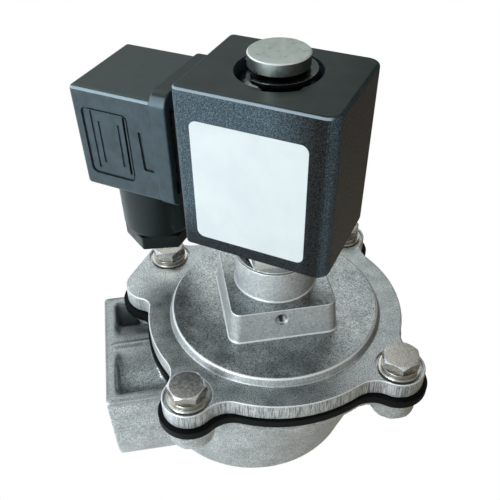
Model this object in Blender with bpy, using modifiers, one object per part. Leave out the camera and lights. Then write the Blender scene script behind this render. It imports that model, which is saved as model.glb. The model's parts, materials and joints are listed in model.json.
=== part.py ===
"""Right-angle diaphragm pulse valve with a solenoid pilot and a square plug connector.

Units are metres and +Z is up. The valve's axis is vertical and the outlet faces down. The
inlet points along -X. The origin is the centre of the footprint, on the outlet's face.
"""
import math

import bmesh
import bpy
from mathutils import Matrix, Vector

MM = 0.001
FIT = 0.3 * MM                  # gap between pieces that slide or plug together
SEAT = 0.15 * MM                # gap between faces that are clamped together

# Outlet, seat and orifice, all on the valve's axis
THREAD_R = 16.6 * MM
THREAD_DEPTH = 14.0 * MM
ORIFICE_R = 12.5 * MM
SEAT_WALL = 3.0 * MM
SEAT_Z = 41.7 * MM
OUTLET_WALL = 4.9 * MM

# Body casting
BODY_TOP = 46.2 * MM
BODY_WALL = 4.0 * MM
BODY_FLANGE = 3.6 * MM
BOWL_INSET = 3.4 * MM           # from the cover's circle to the bowl's top edge
BOWL_TAPER = 3.4 * MM
BOWL_BASE_Z = 13.1 * MM
BOWL_SHIFT = 7.4 * MM           # the bowl's base leans toward the inlet
BOWL_ROUND = 2.5 * MM
EAR_BOSS_R = 6.9 * MM
EAR_BOSS_DEPTH = 8.5 * MM

# Inlet block, a round barrel squared off above its axis
INLET_REACH = 55.3 * MM
INLET_Z = 26.7 * MM
INLET_HALF = 23.0 * MM
INLET_BORE_R = 15.4 * MM
BARREL_WALL = 2.9 * MM
POCKET_WALL = 3.6 * MM
POCKET_END = 3.8 * MM

# Lobed flanges, shared by the body, the diaphragm and the cover
COVER_R = 40.2 * MM
BODY_INSET = 0.6 * MM           # how far the body's flange stays inside the cover's
BOLTS_OUT = 3.64 * MM           # how far the bolts' axes lie outside the cover's circle
EAR_R = 7.6 * MM
EAR_FILLET = 8.0 * MM
LUG_OUT = 2.2 * MM              # how far the lug's centre lies outside the cover's circle
LUG_DEG = 154.3
LUG_R = 8.4 * MM
RIM_PROUD = 0.7 * MM            # how far the diaphragm's rim stands out of the cover
RIM_EAR_PROUD = 1.5 * MM        # the same round the ears and the lug

# Diaphragm and its plates
RIM_THICK = 2.9 * MM
WEB_THICK = 1.5 * MM
WEB_BEAD = 1.0 * MM             # how far the web reaches under the cover's clamping ring
WEB_INNER_R = 17.5 * MM
UPPER_PLATE_R = 15.0 * MM
LOWER_PLATE_GAP = 1.0 * MM
PLATE_THICK = 1.2 * MM
HUB_R = 2.9 * MM
HUB_HEAD_R = 4.6 * MM
HUB_HEAD = 1.8 * MM
HUB_NUT = 4.0 * MM

# Cover casting
COVER_FLANGE = 5.7 * MM
DISC_INSET = 6.9 * MM           # from the cover's circle to the disc's foot
DISC_RISE = 2.5 * MM
DISC_SLOPE = 2.4 * MM
DOME_SIDE = 1.9 * MM            # from the dome's edge to the disc's
DOME_WALL = 3.6 * MM
PAD_HALF = 15.6 * MM
PAD_RISE = 10.6 * MM
PAD_DRAFT = 0.8 * MM
PAD_ROUND = 3.2 * MM
BOSS_R = 12.0 * MM
BOSS_RISE = 10.3 * MM
SPRING_POCKET_R = 9.0 * MM
SPRING_POCKET_Z = 61.0 * MM
PILOT_FLOOR_Z = 71.0 * MM
PILOT_SEAT_R = 2.6 * MM
PILOT_SEAT_RISE = 1.7 * MM
PILOT_HOLE_R = 1.1 * MM
EXHAUST_R = 1.6 * MM
EXHAUST_Z = 64.8 * MM
EXHAUST_X = -0.9 * MM
FEED_Y = 6.3 * MM
FEED_R = 1.0 * MM
SPOT_R = 7.0 * MM
SPOT_DEPTH = 1.0 * MM

# Cover bolts and washers
BOLT_R = 2.9 * MM
BOLT_LENGTH = 18.0 * MM
HEAD_FLATS = 10.0 * MM
HEAD_RISE = 3.3 * MM
WASHER_R = 6.2 * MM
WASHER_THICK = 0.9 * MM
SPRING_WASHER_R = 5.4 * MM
SPRING_WASHER_THICK = 1.1 * MM
SPRING_WASHER_SPLIT = 0.9 * MM

# Operator tube, armature and fixed core
BASE_FLATS = 19.0 * MM
BASE_HEX = 6.2 * MM
BASE_TURN_DEG = 20.0
BASE_SHOULDER_R = 8.2 * MM
BASE_SHOULDER = 1.6 * MM
BASE_THREAD_R = 8.6 * MM
TUBE_R = 6.5 * MM
TUBE_WALL = 0.4 * MM
ARMATURE_LENGTH = 32.0 * MM
ARMATURE_LIFT = 1.5 * MM
ARMATURE_GROOVE = 0.8 * MM
SEAL_R = 3.0 * MM
SEAL_THICK = 2.4 * MM
SPRING_BORE_R = 2.8 * MM
SPRING_BORE_DEPTH = 11.0 * MM
O_RING_R = 0.7 * MM
CAP_R = 7.6 * MM
CAP_RISE = 3.9 * MM
CAP_OVER_COIL = 4.5 * MM
CLIP_GROOVE_R = 5.2 * MM
CLIP_GROOVE = 2.15 * MM
CLIP_THICK = 1.0 * MM
CLIP_R = 9.4 * MM
CLIP_GAP_DEG = 76.0
CLIP_TURN_DEG = 178.0

# Coil block, turned on the tube
COIL_TURN_DEG = -34.4
COIL_LEFT = 19.9 * MM
COIL_RIGHT = 21.1 * MM
COIL_FRONT = 17.4 * MM
COIL_BACK = 15.0 * MM
COIL_BOTTOM = 87.4 * MM
COIL_HEIGHT = 45.6 * MM
COIL_CORNER = 3.6 * MM          # on the side away from the plug
COIL_PLUG_CORNER = 1.6 * MM
COIL_EDGE = 1.0 * MM
COIL_CAVITY_R = 13.0 * MM
COIL_END_WALL = 5.0 * MM
RECESS_R = 10.8 * MM
RECESS_DEPTH = 4.0 * MM
NOTCH_LOW_X = 0.3 * MM
NOTCH_HIGH_X = 8.6 * MM
NOTCH_REACH = 12.0 * MM
NOTCH_DEPTH = 1.6 * MM
FLUX_PLATE = 2.0 * MM
BOBBIN_WALL = 1.0 * MM
BOBBIN_FLANGE = 1.4 * MM

# Plug connector on the coil's left side
PLUG_LEFT = 53.2 * MM
PLUG_FRONT = 13.3 * MM
PLUG_BACK = 15.1 * MM
PLUG_BOTTOM = 95.6 * MM
PLUG_TOP = 125.2 * MM
PLUG_ROUND = 1.2 * MM
PLUG_WALL = 2.4 * MM
SKIRT_LEFT = 29.1 * MM
SKIRT_RIGHT = 24.4 * MM
SKIRT_PROUD = 0.3 * MM
SKIRT_BOTTOM = 94.0 * MM
SKIRT_TOP = 127.2 * MM
SKIRT_ROUND = 4.0 * MM
SOCKET_STEP = 2.1 * MM
SOCKET_HALF = 12.0 * MM
BLADE_LENGTH = 13.0 * MM
BLADE_DEPTH = 3.0 * MM
BLADE_WIDTH = 6.3 * MM
BLADE_THICK = 0.8 * MM
BLADE_SPREAD = 7.5 * MM
TERMINAL_LEFT = 46.0 * MM
TERMINAL_RIGHT = 26.5 * MM
TERMINAL_SCREW_R = 1.5 * MM
TERMINAL_HEAD_R = 2.4 * MM
PLUG_SCREW_R = 1.5 * MM
PLUG_SCREW_HEAD_R = 3.0 * MM

# Cable gland under the plug
GLAND_X = -40.0 * MM
NECK_R = 10.9 * MM
NECK_TAPER = 1.6 * MM
NUT_FLATS = 19.1 * MM
NUT_BOTTOM = 72.3 * MM
NUT_RISE = 4.7 * MM
NUT_SPIGOT = 6.5 * MM
NUT_BORE_R = 4.4 * MM
GLAND_BORE_R = 7.6 * MM
CABLE_HOLE_R = 3.5 * MM
GROMMET_LENGTH = 7.0 * MM
GLAND_RING = 0.8 * MM

ROUND = 36                      # sides of the large turned pieces
SMALL = 18                      # sides of the small ones
ARC_STEP = math.radians(12.0)   # longest step along an outline's arcs

# Heights that follow from the sizes above
RIM_BOTTOM = BODY_TOP + SEAT
RIM_TOP = RIM_BOTTOM + RIM_THICK
COVER_BOTTOM = RIM_TOP + SEAT
COVER_TOP = COVER_BOTTOM + COVER_FLANGE
DISC_TOP = COVER_TOP + DISC_RISE
PAD_TOP = DISC_TOP + PAD_RISE
BOSS_TOP = PAD_TOP + BOSS_RISE
COIL_TOP = COIL_BOTTOM + COIL_HEIGHT
CAP_TOP = COIL_TOP + CAP_OVER_COIL
CAP_BOTTOM = CAP_TOP - CAP_RISE
SEAT_R = ORIFICE_R + SEAT_WALL
OUTLET_R = THREAD_R + OUTLET_WALL
BARREL_R = THREAD_R + BARREL_WALL
WEB_BOTTOM = SEAT_Z + SEAT
PLATE_BOTTOM = WEB_BOTTOM + WEB_THICK + SEAT
PLATE_TOP = PLATE_BOTTOM + PLATE_THICK
PILOT_SEAT_TOP = PILOT_FLOOR_Z + PILOT_SEAT_RISE
ARMATURE_BOTTOM = PILOT_SEAT_TOP + SEAT
ARMATURE_TOP = ARMATURE_BOTTOM + ARMATURE_LENGTH
CORE_BOTTOM = ARMATURE_TOP + ARMATURE_LIFT + FIT
BASE_BOTTOM = PILOT_FLOOR_Z + 2 * O_RING_R + 2 * FIT
TUBE_TOP = COIL_TOP - RECESS_DEPTH - FIT
PLUG_MID_Y = (PLUG_BACK - PLUG_FRONT) / 2
PLUG_MID_Z = (PLUG_BOTTOM + PLUG_TOP) / 2
SOCKET_LEFT = COIL_LEFT + SOCKET_STEP
NUT_TOP = NUT_BOTTOM + NUT_RISE
SPIGOT_TOP = NUT_TOP + NUT_SPIGOT
BOWL_TOP_R = COVER_R - BOWL_INSET
BOWL_BASE_R = BOWL_TOP_R - BOWL_TAPER
DISC_R = COVER_R - DISC_INSET - DISC_SLOPE
DOME_R = DISC_R - DOME_SIDE
WEB_OUTER_R = DOME_R + WEB_BEAD
BOLT_OFFSET = (COVER_R + BOLTS_OUT) / math.sqrt(2)
LUG_X = (COVER_R + LUG_OUT) * math.cos(math.radians(LUG_DEG))
LUG_Y = (COVER_R + LUG_OUT) * math.sin(math.radians(LUG_DEG))
VALVE_X = (INLET_REACH - COVER_R - RIM_PROUD) / 2

BOLT_PLACES = [(sx * BOLT_OFFSET, sy * BOLT_OFFSET) for sy in (-1, 1) for sx in (-1, 1)]

PARTS = "pulse_valve"
TOOLS = "cutters"


def clear_scene():
    for obj in list(bpy.data.objects):
        bpy.data.objects.remove(obj, do_unlink=True)
    for collection in list(bpy.data.collections):
        bpy.data.collections.remove(collection)
    for name in (PARTS, TOOLS):
        bpy.context.scene.collection.children.link(bpy.data.collections.new(name))


def finish(name, colour, roughness, metallic):
    material = bpy.data.materials.new(name)
    material.use_nodes = True
    shader = material.node_tree.nodes["Principled BSDF"]
    shader.inputs["Base Color"].default_value = (*colour, 1.0)
    shader.inputs["Roughness"].default_value = roughness
    shader.inputs["Metallic"].default_value = metallic
    return material


def axis_empty(name, parent, location=(0, 0, 0), turn=0.0):
    empty = bpy.data.objects.new(name, None)
    bpy.data.collections[PARTS].objects.link(empty)
    empty.parent = parent
    empty.location = location
    empty.rotation_euler = (0, 0, turn)
    return empty


def part(obj, parent, material, smooth=True):
    """Keep an object as a sub-part of the valve."""
    bpy.data.collections[PARTS].objects.link(obj)
    obj.parent = parent
    obj.data.materials.clear()
    obj.data.materials.append(material)
    if smooth:
        obj.data.shade_smooth()
        obj.data.set_sharp_from_angle(angle=math.radians(35))
    return obj


def tool(obj, parent):
    """Keep an object as a cutter or as a form that is joined to a sub-part."""
    bpy.data.collections[TOOLS].objects.link(obj)
    obj.parent = parent
    obj.hide_render = True
    obj.display_type = "WIRE"
    return obj


def boolean(obj, other, operation):
    change = obj.modifiers.new(other.name, "BOOLEAN")
    change.operation = operation
    change.solver = "EXACT"
    change.object = other


def cut(obj, *others):
    for other in others:
        boolean(obj, tool(other, obj.parent), "DIFFERENCE")


def join(obj, *others):
    for other in others:
        boolean(obj, tool(other, obj.parent), "UNION")


def from_bmesh(name, bm):
    mesh = bpy.data.meshes.new(name)
    bm.to_mesh(mesh)
    bm.free()
    return bpy.data.objects.new(name, mesh)


def box(name, low, high, edge=0.0, segments=2):
    """A box between two corners, with its edges rounded by a bevel."""
    bm = bmesh.new()
    bmesh.ops.create_cube(bm, size=1.0)
    size = Vector(high) - Vector(low)
    middle = (Vector(high) + Vector(low)) / 2
    bmesh.ops.scale(bm, vec=size, verts=bm.verts)
    bmesh.ops.translate(bm, vec=middle, verts=bm.verts)
    obj = from_bmesh(name, bm)
    if edge:
        round_edges = obj.modifiers.new("round edges", "BEVEL")
        round_edges.width = edge
        round_edges.segments = segments
    return obj


def cylinder(name, radius, start, end, segments=SMALL, turn=0.0):
    """A round or polygonal bar from one point to another."""
    start, end = Vector(start), Vector(end)
    run = end - start
    bm = bmesh.new()
    bmesh.ops.create_cone(bm, cap_ends=True, segments=segments, radius1=radius,
                          radius2=radius, depth=run.length)
    bmesh.ops.rotate(bm, cent=(0, 0, 0), matrix=Matrix.Rotation(turn, 3, "Z"), verts=bm.verts)
    tilt = run.to_track_quat("Z", "Y").to_matrix()
    bmesh.ops.rotate(bm, cent=(0, 0, 0), matrix=tilt, verts=bm.verts)
    bmesh.ops.translate(bm, vec=(start + end) / 2, verts=bm.verts)
    return from_bmesh(name, bm)


def post(name, radius, bottom, top, x=0.0, y=0.0, segments=SMALL, turn=0.0):
    return cylinder(name, radius, (x, y, bottom), (x, y, top), segments, turn)


def hexagon(name, flats, bottom, top, x=0.0, y=0.0, turn=0.0):
    return post(name, flats / math.sqrt(3), bottom, top, x, y, 6, turn)


def turned(name, profile, steps=ROUND, closed=True):
    """A profile of (radius, height) points turned about the vertical axis.

    An open profile starts and ends on the axis. Both kinds run down their outer side.
    """
    count = len(profile)
    edges = [(i, i + 1) for i in range(count - 1)]
    if closed:
        edges.append((count - 1, 0))
    mesh = bpy.data.meshes.new(name)
    mesh.from_pydata([(r, 0, z) for r, z in profile], edges, [])
    obj = bpy.data.objects.new(name, mesh)
    turn = obj.modifiers.new("turn", "SCREW")
    turn.axis = "Z"
    turn.angle = math.tau
    turn.steps = steps
    turn.render_steps = steps
    turn.use_merge_vertices = True
    turn.merge_threshold = 0.00001
    return obj


def ring(name, inner, outer, bottom, top, steps=SMALL):
    return turned(name, [(outer, top), (outer, bottom), (inner, bottom), (inner, top)], steps)


def moved(obj, x=0.0, y=0.0, z=0.0):
    obj.location = (x, y, z)
    return obj


def skin(curve):
    """The closed surface of a curve that has an extrusion or a bevel."""
    shape = bpy.data.objects.new(curve.name, curve)
    bpy.context.scene.collection.objects.link(shape)
    bpy.context.view_layer.update()
    mesh = bpy.data.meshes.new_from_object(shape.evaluated_get(bpy.context.evaluated_depsgraph_get()))
    bpy.data.objects.remove(shape)
    bpy.data.curves.remove(curve)
    bm = bmesh.new()
    bm.from_mesh(mesh)
    bpy.data.meshes.remove(mesh)
    bmesh.ops.remove_doubles(bm, verts=bm.verts, dist=0.00001)
    return bm


def prism(name, outlines, bottom, top, edge=0.0, edge_steps=1):
    """Flat outlines, the first one outside and the others holes, given a thickness."""
    curve = bpy.data.curves.new(name, "CURVE")
    curve.dimensions = "2D"
    curve.fill_mode = "BOTH"
    curve.extrude = (top - bottom) / 2 - edge
    curve.bevel_depth = edge
    curve.bevel_resolution = edge_steps - 1
    curve.offset = -edge
    for outline in outlines:
        spline = curve.splines.new("POLY")
        spline.points.add(len(outline) - 1)
        for point, (x, y) in zip(spline.points, outline):
            point.co = (x, y, 0, 1)
        spline.use_cyclic_u = True
    bm = skin(curve)
    bmesh.ops.translate(bm, vec=(0, 0, (top + bottom) / 2), verts=bm.verts)
    return from_bmesh(name, bm)


def arc(centre, radius, start, end):
    """Points from one angle to another, without the last one."""
    steps = max(1, math.ceil(abs(end - start) / ARC_STEP))
    angles = [start + (end - start) * i / steps for i in range(steps)]
    return [(centre[0] + radius * math.cos(a), centre[1] + radius * math.sin(a)) for a in angles]


def circle(centre, radius, segments=SMALL):
    angles = [math.tau * i / segments for i in range(segments)]
    return [(centre[0] + radius * math.cos(a), centre[1] + radius * math.sin(a)) for a in angles]


def rounded_rectangle(x0, x1, y0, y1, right, left):
    """A rectangle whose corners have one radius on the right and another on the left."""
    corners = [(x1 - right, y1 - right, right, 0), (x0 + left, y1 - left, left, 1),
               (x0 + left, y0 + left, left, 2), (x1 - right, y0 + right, right, 3)]
    points = []
    for x, y, radius, quarter in corners:
        start = quarter * math.pi / 2
        points += arc((x, y), radius, start, start + math.pi / 2)
        points.append((x + radius * math.cos(start + math.pi / 2),
                       y + radius * math.sin(start + math.pi / 2)))
    return points


def bearing(centre, point):
    return math.atan2(point[1] - centre[1], point[0] - centre[0])


def ahead(start, end):
    """The end angle, raised by whole turns until it follows the start."""
    while end < start:
        end += math.tau
    return end


def blend_centre(main_radius, ear, ear_radius, fillet, side):
    """Centre of the fillet circle that touches the main circle and an ear from outside."""
    gap = math.hypot(*ear)
    along = ((main_radius + fillet) ** 2 - (ear_radius + fillet) ** 2 + gap ** 2) / (2 * gap)
    across = side * math.sqrt((main_radius + fillet) ** 2 - along ** 2)
    ux, uy = ear[0] / gap, ear[1] / gap
    return ux * along - uy * across, uy * along + ux * across


def lobed_outline(main_radius, ear_radius, lug_radius, fillet):
    """A round flange with four bolt ears, and a lug beside the ear at the back left."""
    lug = ((LUG_X, LUG_Y), lug_radius, fillet / 2)
    ears = [[((x, y), ear_radius, fillet)] for x, y in
            ((BOLT_OFFSET, -BOLT_OFFSET), (BOLT_OFFSET, BOLT_OFFSET))]
    ears.append([((-BOLT_OFFSET, BOLT_OFFSET), ear_radius, fillet), lug])
    ears.append([((-BOLT_OFFSET, -BOLT_OFFSET), ear_radius, fillet)])
    points = []
    heading = -math.pi / 2
    for lobes in ears:
        (first, first_radius, first_fillet), (last, last_radius, last_fillet) = lobes[0], lobes[-1]
        enter = blend_centre(main_radius, first, first_radius, first_fillet, -1)
        leave = blend_centre(main_radius, last, last_radius, last_fillet, 1)
        meet = ahead(heading, bearing((0, 0), enter))
        points += arc((0, 0), main_radius, heading, meet)
        turn = bearing(enter, first)
        start = ahead(turn, bearing(enter, (0, 0)))
        points += arc(enter, first_fillet, start, turn)
        heading = bearing(first, enter)
        for (here, radius, _), (there, next_radius, _) in zip(lobes, lobes[1:]):
            span = math.hypot(there[0] - here[0], there[1] - here[1])
            normal = bearing(here, there) - math.acos((radius - next_radius) / span)
            stop = ahead(heading, normal)
            points += arc(here, radius, heading, stop)
            points.append((here[0] + radius * math.cos(stop), here[1] + radius * math.sin(stop)))
            heading = stop
        stop = ahead(heading, bearing(last, leave))
        points += arc(last, last_radius, heading, stop)
        turn = bearing(leave, (0, 0))
        start = ahead(turn, bearing(leave, last))
        points += arc(leave, last_fillet, start, turn)
        heading = bearing((0, 0), leave)
    points += arc((0, 0), main_radius, heading, ahead(heading, -math.pi / 2))
    return points


def flange(name, grow, bottom, top, edge=0.0):
    outline = lobed_outline(COVER_R + grow, EAR_R + grow, LUG_R + grow, EAR_FILLET)
    return prism(name, [outline], bottom, top, edge)


def loft(name, rings):
    """A closed skin through rings of points, from the lowest to the highest."""
    bm = bmesh.new()
    loops = [[bm.verts.new(p) for p in points] for points in rings]
    for low, high in zip(loops, loops[1:]):
        for i in range(len(low)):
            j = (i + 1) % len(low)
            bm.faces.new((low[i], low[j], high[j], high[i]))
    bm.faces.new(loops[0][::-1])
    bm.faces.new(loops[-1])
    return from_bmesh(name, bm)


def level(centre_x, radius, z, segments=ROUND):
    return [(x, y, z) for x, y in circle((centre_x, 0), radius, segments)]


def bowl(name, inset, top, base, segments=ROUND):
    """The body's bowl, whose round base leans toward the inlet and has a rounded edge."""
    steps = 3
    rings = []
    for i in range(steps + 1):
        a = math.pi / 2 * i / steps
        pull = BOWL_ROUND * (1 - math.sin(a))
        rings.append(level(-BOWL_SHIFT, BOWL_BASE_R - inset - pull,
                           base + BOWL_ROUND * (1 - math.cos(a)), segments))
    rings.append(level(0, BOWL_TOP_R - inset, top, segments))
    return loft(name, rings)


def helix(name, radius, wire, bottom, top, turns):
    """A round-wire coil spring with its end coils a wire's width inside the given heights."""
    points = []
    per_turn = 12
    count = int(turns * per_turn)
    for i in range(count + 1):
        a = math.tau * i / per_turn
        z = bottom + wire + (top - bottom - 2 * wire) * i / count
        points.append((radius * math.cos(a), radius * math.sin(a), z, 1))
    curve = bpy.data.curves.new(name, "CURVE")
    curve.dimensions = "3D"
    curve.bevel_depth = wire
    curve.bevel_resolution = 0
    curve.use_fill_caps = True
    spline = curve.splines.new("POLY")
    spline.points.add(len(points) - 1)
    for point, co in zip(spline.points, points):
        point.co = co
    return from_bmesh(name, skin(curve))


def valve_body(axis, cast):
    """The cast body: bowl, inlet block with its cored pockets, outlet boss and seat."""
    body = flange("valve_body", -BODY_INSET, BODY_TOP - BODY_FLANGE, BODY_TOP)
    part(body, axis, cast, smooth=False)
    side = INLET_HALF
    barrel = arc((0, INLET_Z), side, math.pi, math.tau)
    section = barrel + [(side, INLET_Z), (side, BODY_TOP), (-side, BODY_TOP)]
    block = prism("inlet_block", [section], 0, INLET_REACH)
    block.data.transform(Matrix(((0, 0, -1, 0), (1, 0, 0, 0), (0, 1, 0, 0), (0, 0, 0, 1))))
    block.data.flip_normals()
    pocket_half = INLET_HALF - POCKET_WALL
    pockets = box("pockets", (-INLET_REACH + POCKET_END, -pocket_half, INLET_Z),
                  (-BOWL_TOP_R / 2, pocket_half, BODY_TOP + FIT))
    crown = cylinder("inlet_barrel", BARREL_R, (-INLET_REACH, 0, INLET_Z), (0, 0, INLET_Z), ROUND)
    tool(pockets, axis)
    boolean(pockets, tool(crown, axis), "DIFFERENCE")
    cut_pockets = block.modifiers.new("pockets", "BOOLEAN")
    cut_pockets.object = pockets
    join(body, block)
    join(body, bowl("bowl", 0, BODY_TOP - FIT, BOWL_BASE_Z))
    join(body, post("outlet_boss", OUTLET_R, 0, BOWL_BASE_Z + BODY_WALL, segments=ROUND))
    for index, (x, y) in enumerate(BOLT_PLACES):
        join(body, post(f"ear_boss_{index + 1}", EAR_BOSS_R, BODY_TOP - EAR_BOSS_DEPTH,
                        BODY_TOP - FIT, x, y))
    cut(body, bowl("chamber", BODY_WALL, BODY_TOP + FIT, BOWL_BASE_Z + BODY_WALL))
    join(body, post("seat_tube", SEAT_R, BOWL_BASE_Z, SEAT_Z, segments=ROUND))
    cut(body, post("orifice", ORIFICE_R, -FIT, SEAT_Z + FIT, segments=ROUND),
        post("outlet_socket", THREAD_R, -FIT, THREAD_DEPTH, segments=ROUND))
    bore_end = THREAD_R + POCKET_WALL
    cut(body, cylinder("inlet_bore", INLET_BORE_R, (-INLET_REACH - FIT, 0, INLET_Z),
                       (-bore_end, 0, INLET_Z), ROUND),
        cylinder("inlet_socket", THREAD_R, (-INLET_REACH - FIT, 0, INLET_Z),
                 (-INLET_REACH + THREAD_DEPTH, 0, INLET_Z), ROUND))
    for index, (x, y) in enumerate(BOLT_PLACES):
        cut(body, post(f"body_hole_{index + 1}", BOLT_R + FIT, BODY_TOP - EAR_BOSS_DEPTH - FIT,
                       BODY_TOP + FIT, x, y, 16))


def diaphragm(axis, rubber):
    """The moulded diaphragm: a lobed rim, and a web that dips to the seat."""
    outline = lobed_outline(COVER_R + RIM_PROUD, EAR_R + RIM_EAR_PROUD, LUG_R + RIM_EAR_PROUD,
                            EAR_FILLET)
    holes = [circle(place, BOLT_R + 2 * FIT, 16) for place in BOLT_PLACES]
    sheet = prism("diaphragm", [outline, circle((0, 0), WEB_OUTER_R + FIT, ROUND), *holes],
                  RIM_BOTTOM, RIM_TOP)
    part(sheet, axis, rubber)
    edge = WEB_OUTER_R + 2 * FIT
    bend = (WEB_OUTER_R + WEB_INNER_R) / 2
    drop = RIM_TOP - SEAT - WEB_THICK
    mid = (drop + WEB_BOTTOM) / 2
    web = turned("web", [(edge, drop + WEB_THICK), (edge, drop), (WEB_OUTER_R - 2 * MM, drop),
                         (bend, mid), (WEB_INNER_R, WEB_BOTTOM), (HUB_R + FIT, WEB_BOTTOM),
                         (HUB_R + FIT, WEB_BOTTOM + WEB_THICK),
                         (WEB_INNER_R - WEB_THICK / 2, WEB_BOTTOM + WEB_THICK),
                         (bend - WEB_THICK / 2, mid + WEB_THICK),
                         (WEB_OUTER_R - 2 * MM - WEB_THICK / 2, drop + WEB_THICK)])
    join(sheet, web)


def diaphragm_hardware(axis, steel, spring_steel):
    """The plates, screw and nut that clamp the diaphragm's middle, and the return spring."""
    hole = HUB_R + FIT
    part(ring("upper_plate", hole, UPPER_PLATE_R, PLATE_BOTTOM, PLATE_TOP, ROUND), axis, steel)
    lower_top = WEB_BOTTOM - SEAT
    lower_bottom = lower_top - PLATE_THICK
    lower_r = ORIFICE_R - LOWER_PLATE_GAP
    part(ring("lower_plate", hole, lower_r, lower_bottom, lower_top, ROUND), axis, steel)
    head_top = lower_bottom - SEAT
    nut_bottom = PLATE_TOP + SEAT
    nut_top = nut_bottom + HUB_NUT
    screw = hexagon("diaphragm_screw", HUB_HEAD_R * math.sqrt(3), head_top - HUB_HEAD, head_top)
    part(screw, axis, steel)
    join(screw, post("hub_shank", HUB_R, head_top - HUB_HEAD / 2, nut_top + SEAT))
    nut = hexagon("diaphragm_nut", HUB_HEAD_R * math.sqrt(3), nut_bottom, nut_top)
    part(nut, axis, steel)
    cut(nut, post("nut_hole", hole, nut_bottom - FIT, nut_top + FIT))
    wire = 0.65 * MM
    coil_r = (HUB_HEAD_R * 2 / math.sqrt(3) + SPRING_POCKET_R) / 2
    part(helix("diaphragm_spring", coil_r, wire, nut_bottom, SPRING_POCKET_Z - SEAT, 4.5),
         axis, spring_steel, smooth=False)


def cover(axis, cast):
    """The cast cover: lobed flange, raised disc, drafted pad and the boss for the tube."""
    lid = flange("cover", 0, COVER_BOTTOM, COVER_TOP, 0.5 * MM)
    part(lid, axis, cast, smooth=False)
    join(lid, turned("disc", [(0, DISC_TOP), (DISC_R, DISC_TOP), (DISC_R + DISC_SLOPE, COVER_TOP),
                              (DISC_R + DISC_SLOPE, COVER_BOTTOM + MM), (0, COVER_BOTTOM + MM)],
                     48, closed=False))
    low, high = PAD_HALF + PAD_DRAFT, PAD_HALF
    rings = []
    for half, z in ((low, COVER_TOP), (low, DISC_TOP), (high, PAD_TOP - 0.4 * MM),
                    (high - 0.4 * MM, PAD_TOP)):
        outline = rounded_rectangle(-half, half, -half, half, PAD_ROUND, PAD_ROUND)
        rings.append([(x, y, z) for x, y in outline])
    join(lid, loft("pad", rings))
    join(lid, turned("boss", [(0, BOSS_TOP), (BOSS_R - 0.5 * MM, BOSS_TOP),
                              (BOSS_R, BOSS_TOP - 0.5 * MM), (BOSS_R, PAD_TOP - MM),
                              (0, PAD_TOP - MM)], ROUND, closed=False))
    roof = DISC_TOP - DOME_WALL
    cut(lid, turned("dome", [(0, SPRING_POCKET_Z), (SPRING_POCKET_R, SPRING_POCKET_Z),
                             (SPRING_POCKET_R, roof), (DOME_R - 1.5 * MM, roof),
                             (DOME_R, COVER_BOTTOM - FIT), (0, COVER_BOTTOM - FIT)],
                    ROUND, closed=False))
    tube_hole = BASE_THREAD_R + FIT
    cut(lid, turned("pilot_chamber", [(0, BOSS_TOP + FIT), (tube_hole, BOSS_TOP + FIT),
                                      (tube_hole, PILOT_FLOOR_Z), (PILOT_SEAT_R, PILOT_FLOOR_Z),
                                      (PILOT_SEAT_R - 0.8 * MM, PILOT_SEAT_TOP),
                                      (0, PILOT_SEAT_TOP)], ROUND, closed=False))
    cut(lid, post("pilot_hole", PILOT_HOLE_R, EXHAUST_Z, PILOT_SEAT_TOP + FIT, segments=12),
        cylinder("exhaust", EXHAUST_R, (EXHAUST_X, PILOT_HOLE_R, EXHAUST_Z),
                 (EXHAUST_X, -PAD_HALF - PAD_DRAFT - FIT, EXHAUST_Z), 16),
        post("feed_hole", FEED_R, SPRING_POCKET_Z - FIT, PILOT_FLOOR_Z + FIT, 0, FEED_Y, 12))
    for index, (x, y) in enumerate(BOLT_PLACES):
        cut(lid, post(f"cover_hole_{index + 1}", BOLT_R + 2 * FIT, COVER_BOTTOM - FIT,
                      COVER_TOP + FIT, x, y, 16),
            post(f"spot_face_{index + 1}", SPOT_R, COVER_TOP - SPOT_DEPTH, COVER_TOP + FIT, x, y))


def cover_bolts(axis, steel):
    """Four hexagon bolts, each with a flat washer and a split spring washer."""
    floor = COVER_TOP - SPOT_DEPTH
    flat_bottom = floor + SEAT
    split_bottom = flat_bottom + WASHER_THICK + SEAT
    head_bottom = split_bottom + SPRING_WASHER_THICK + SEAT
    head_top = head_bottom + HEAD_RISE
    hole = BOLT_R + FIT
    for index, (x, y) in enumerate(BOLT_PLACES):
        name = str(index + 1)
        washer = ring("flat_washer_" + name, hole, WASHER_R, flat_bottom,
                      flat_bottom + WASHER_THICK)
        part(moved(washer, x, y), axis, steel)
        split = ring("spring_washer_" + name, hole, SPRING_WASHER_R, split_bottom,
                     split_bottom + SPRING_WASHER_THICK)
        part(moved(split, x, y), axis, steel)
        slot = box("split_" + name, (0, -SPRING_WASHER_SPLIT / 2, split_bottom - FIT),
                   (SPRING_WASHER_R + FIT, SPRING_WASHER_SPLIT / 2, head_bottom + FIT))
        cut(split, moved(slot, x, y))
        bolt = hexagon("cover_bolt_" + name, HEAD_FLATS, head_bottom, head_top)
        part(moved(bolt, x, y), axis, steel)
        corner = HEAD_FLATS / math.sqrt(3)
        face = HEAD_FLATS / 2
        chamfer = (corner - face) * 0.6
        crown = turned("crown_" + name, [(0, head_top), (face, head_top),
                                         (corner, head_top - chamfer),
                                         (corner, head_bottom - FIT), (0, head_bottom - FIT)],
                       SMALL, closed=False)
        boolean(bolt, tool(moved(crown, x, y), axis), "INTERSECT")
        join(bolt, moved(post("shank_" + name, BOLT_R, head_bottom - BOLT_LENGTH,
                              head_bottom + MM, segments=16), x, y))


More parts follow.
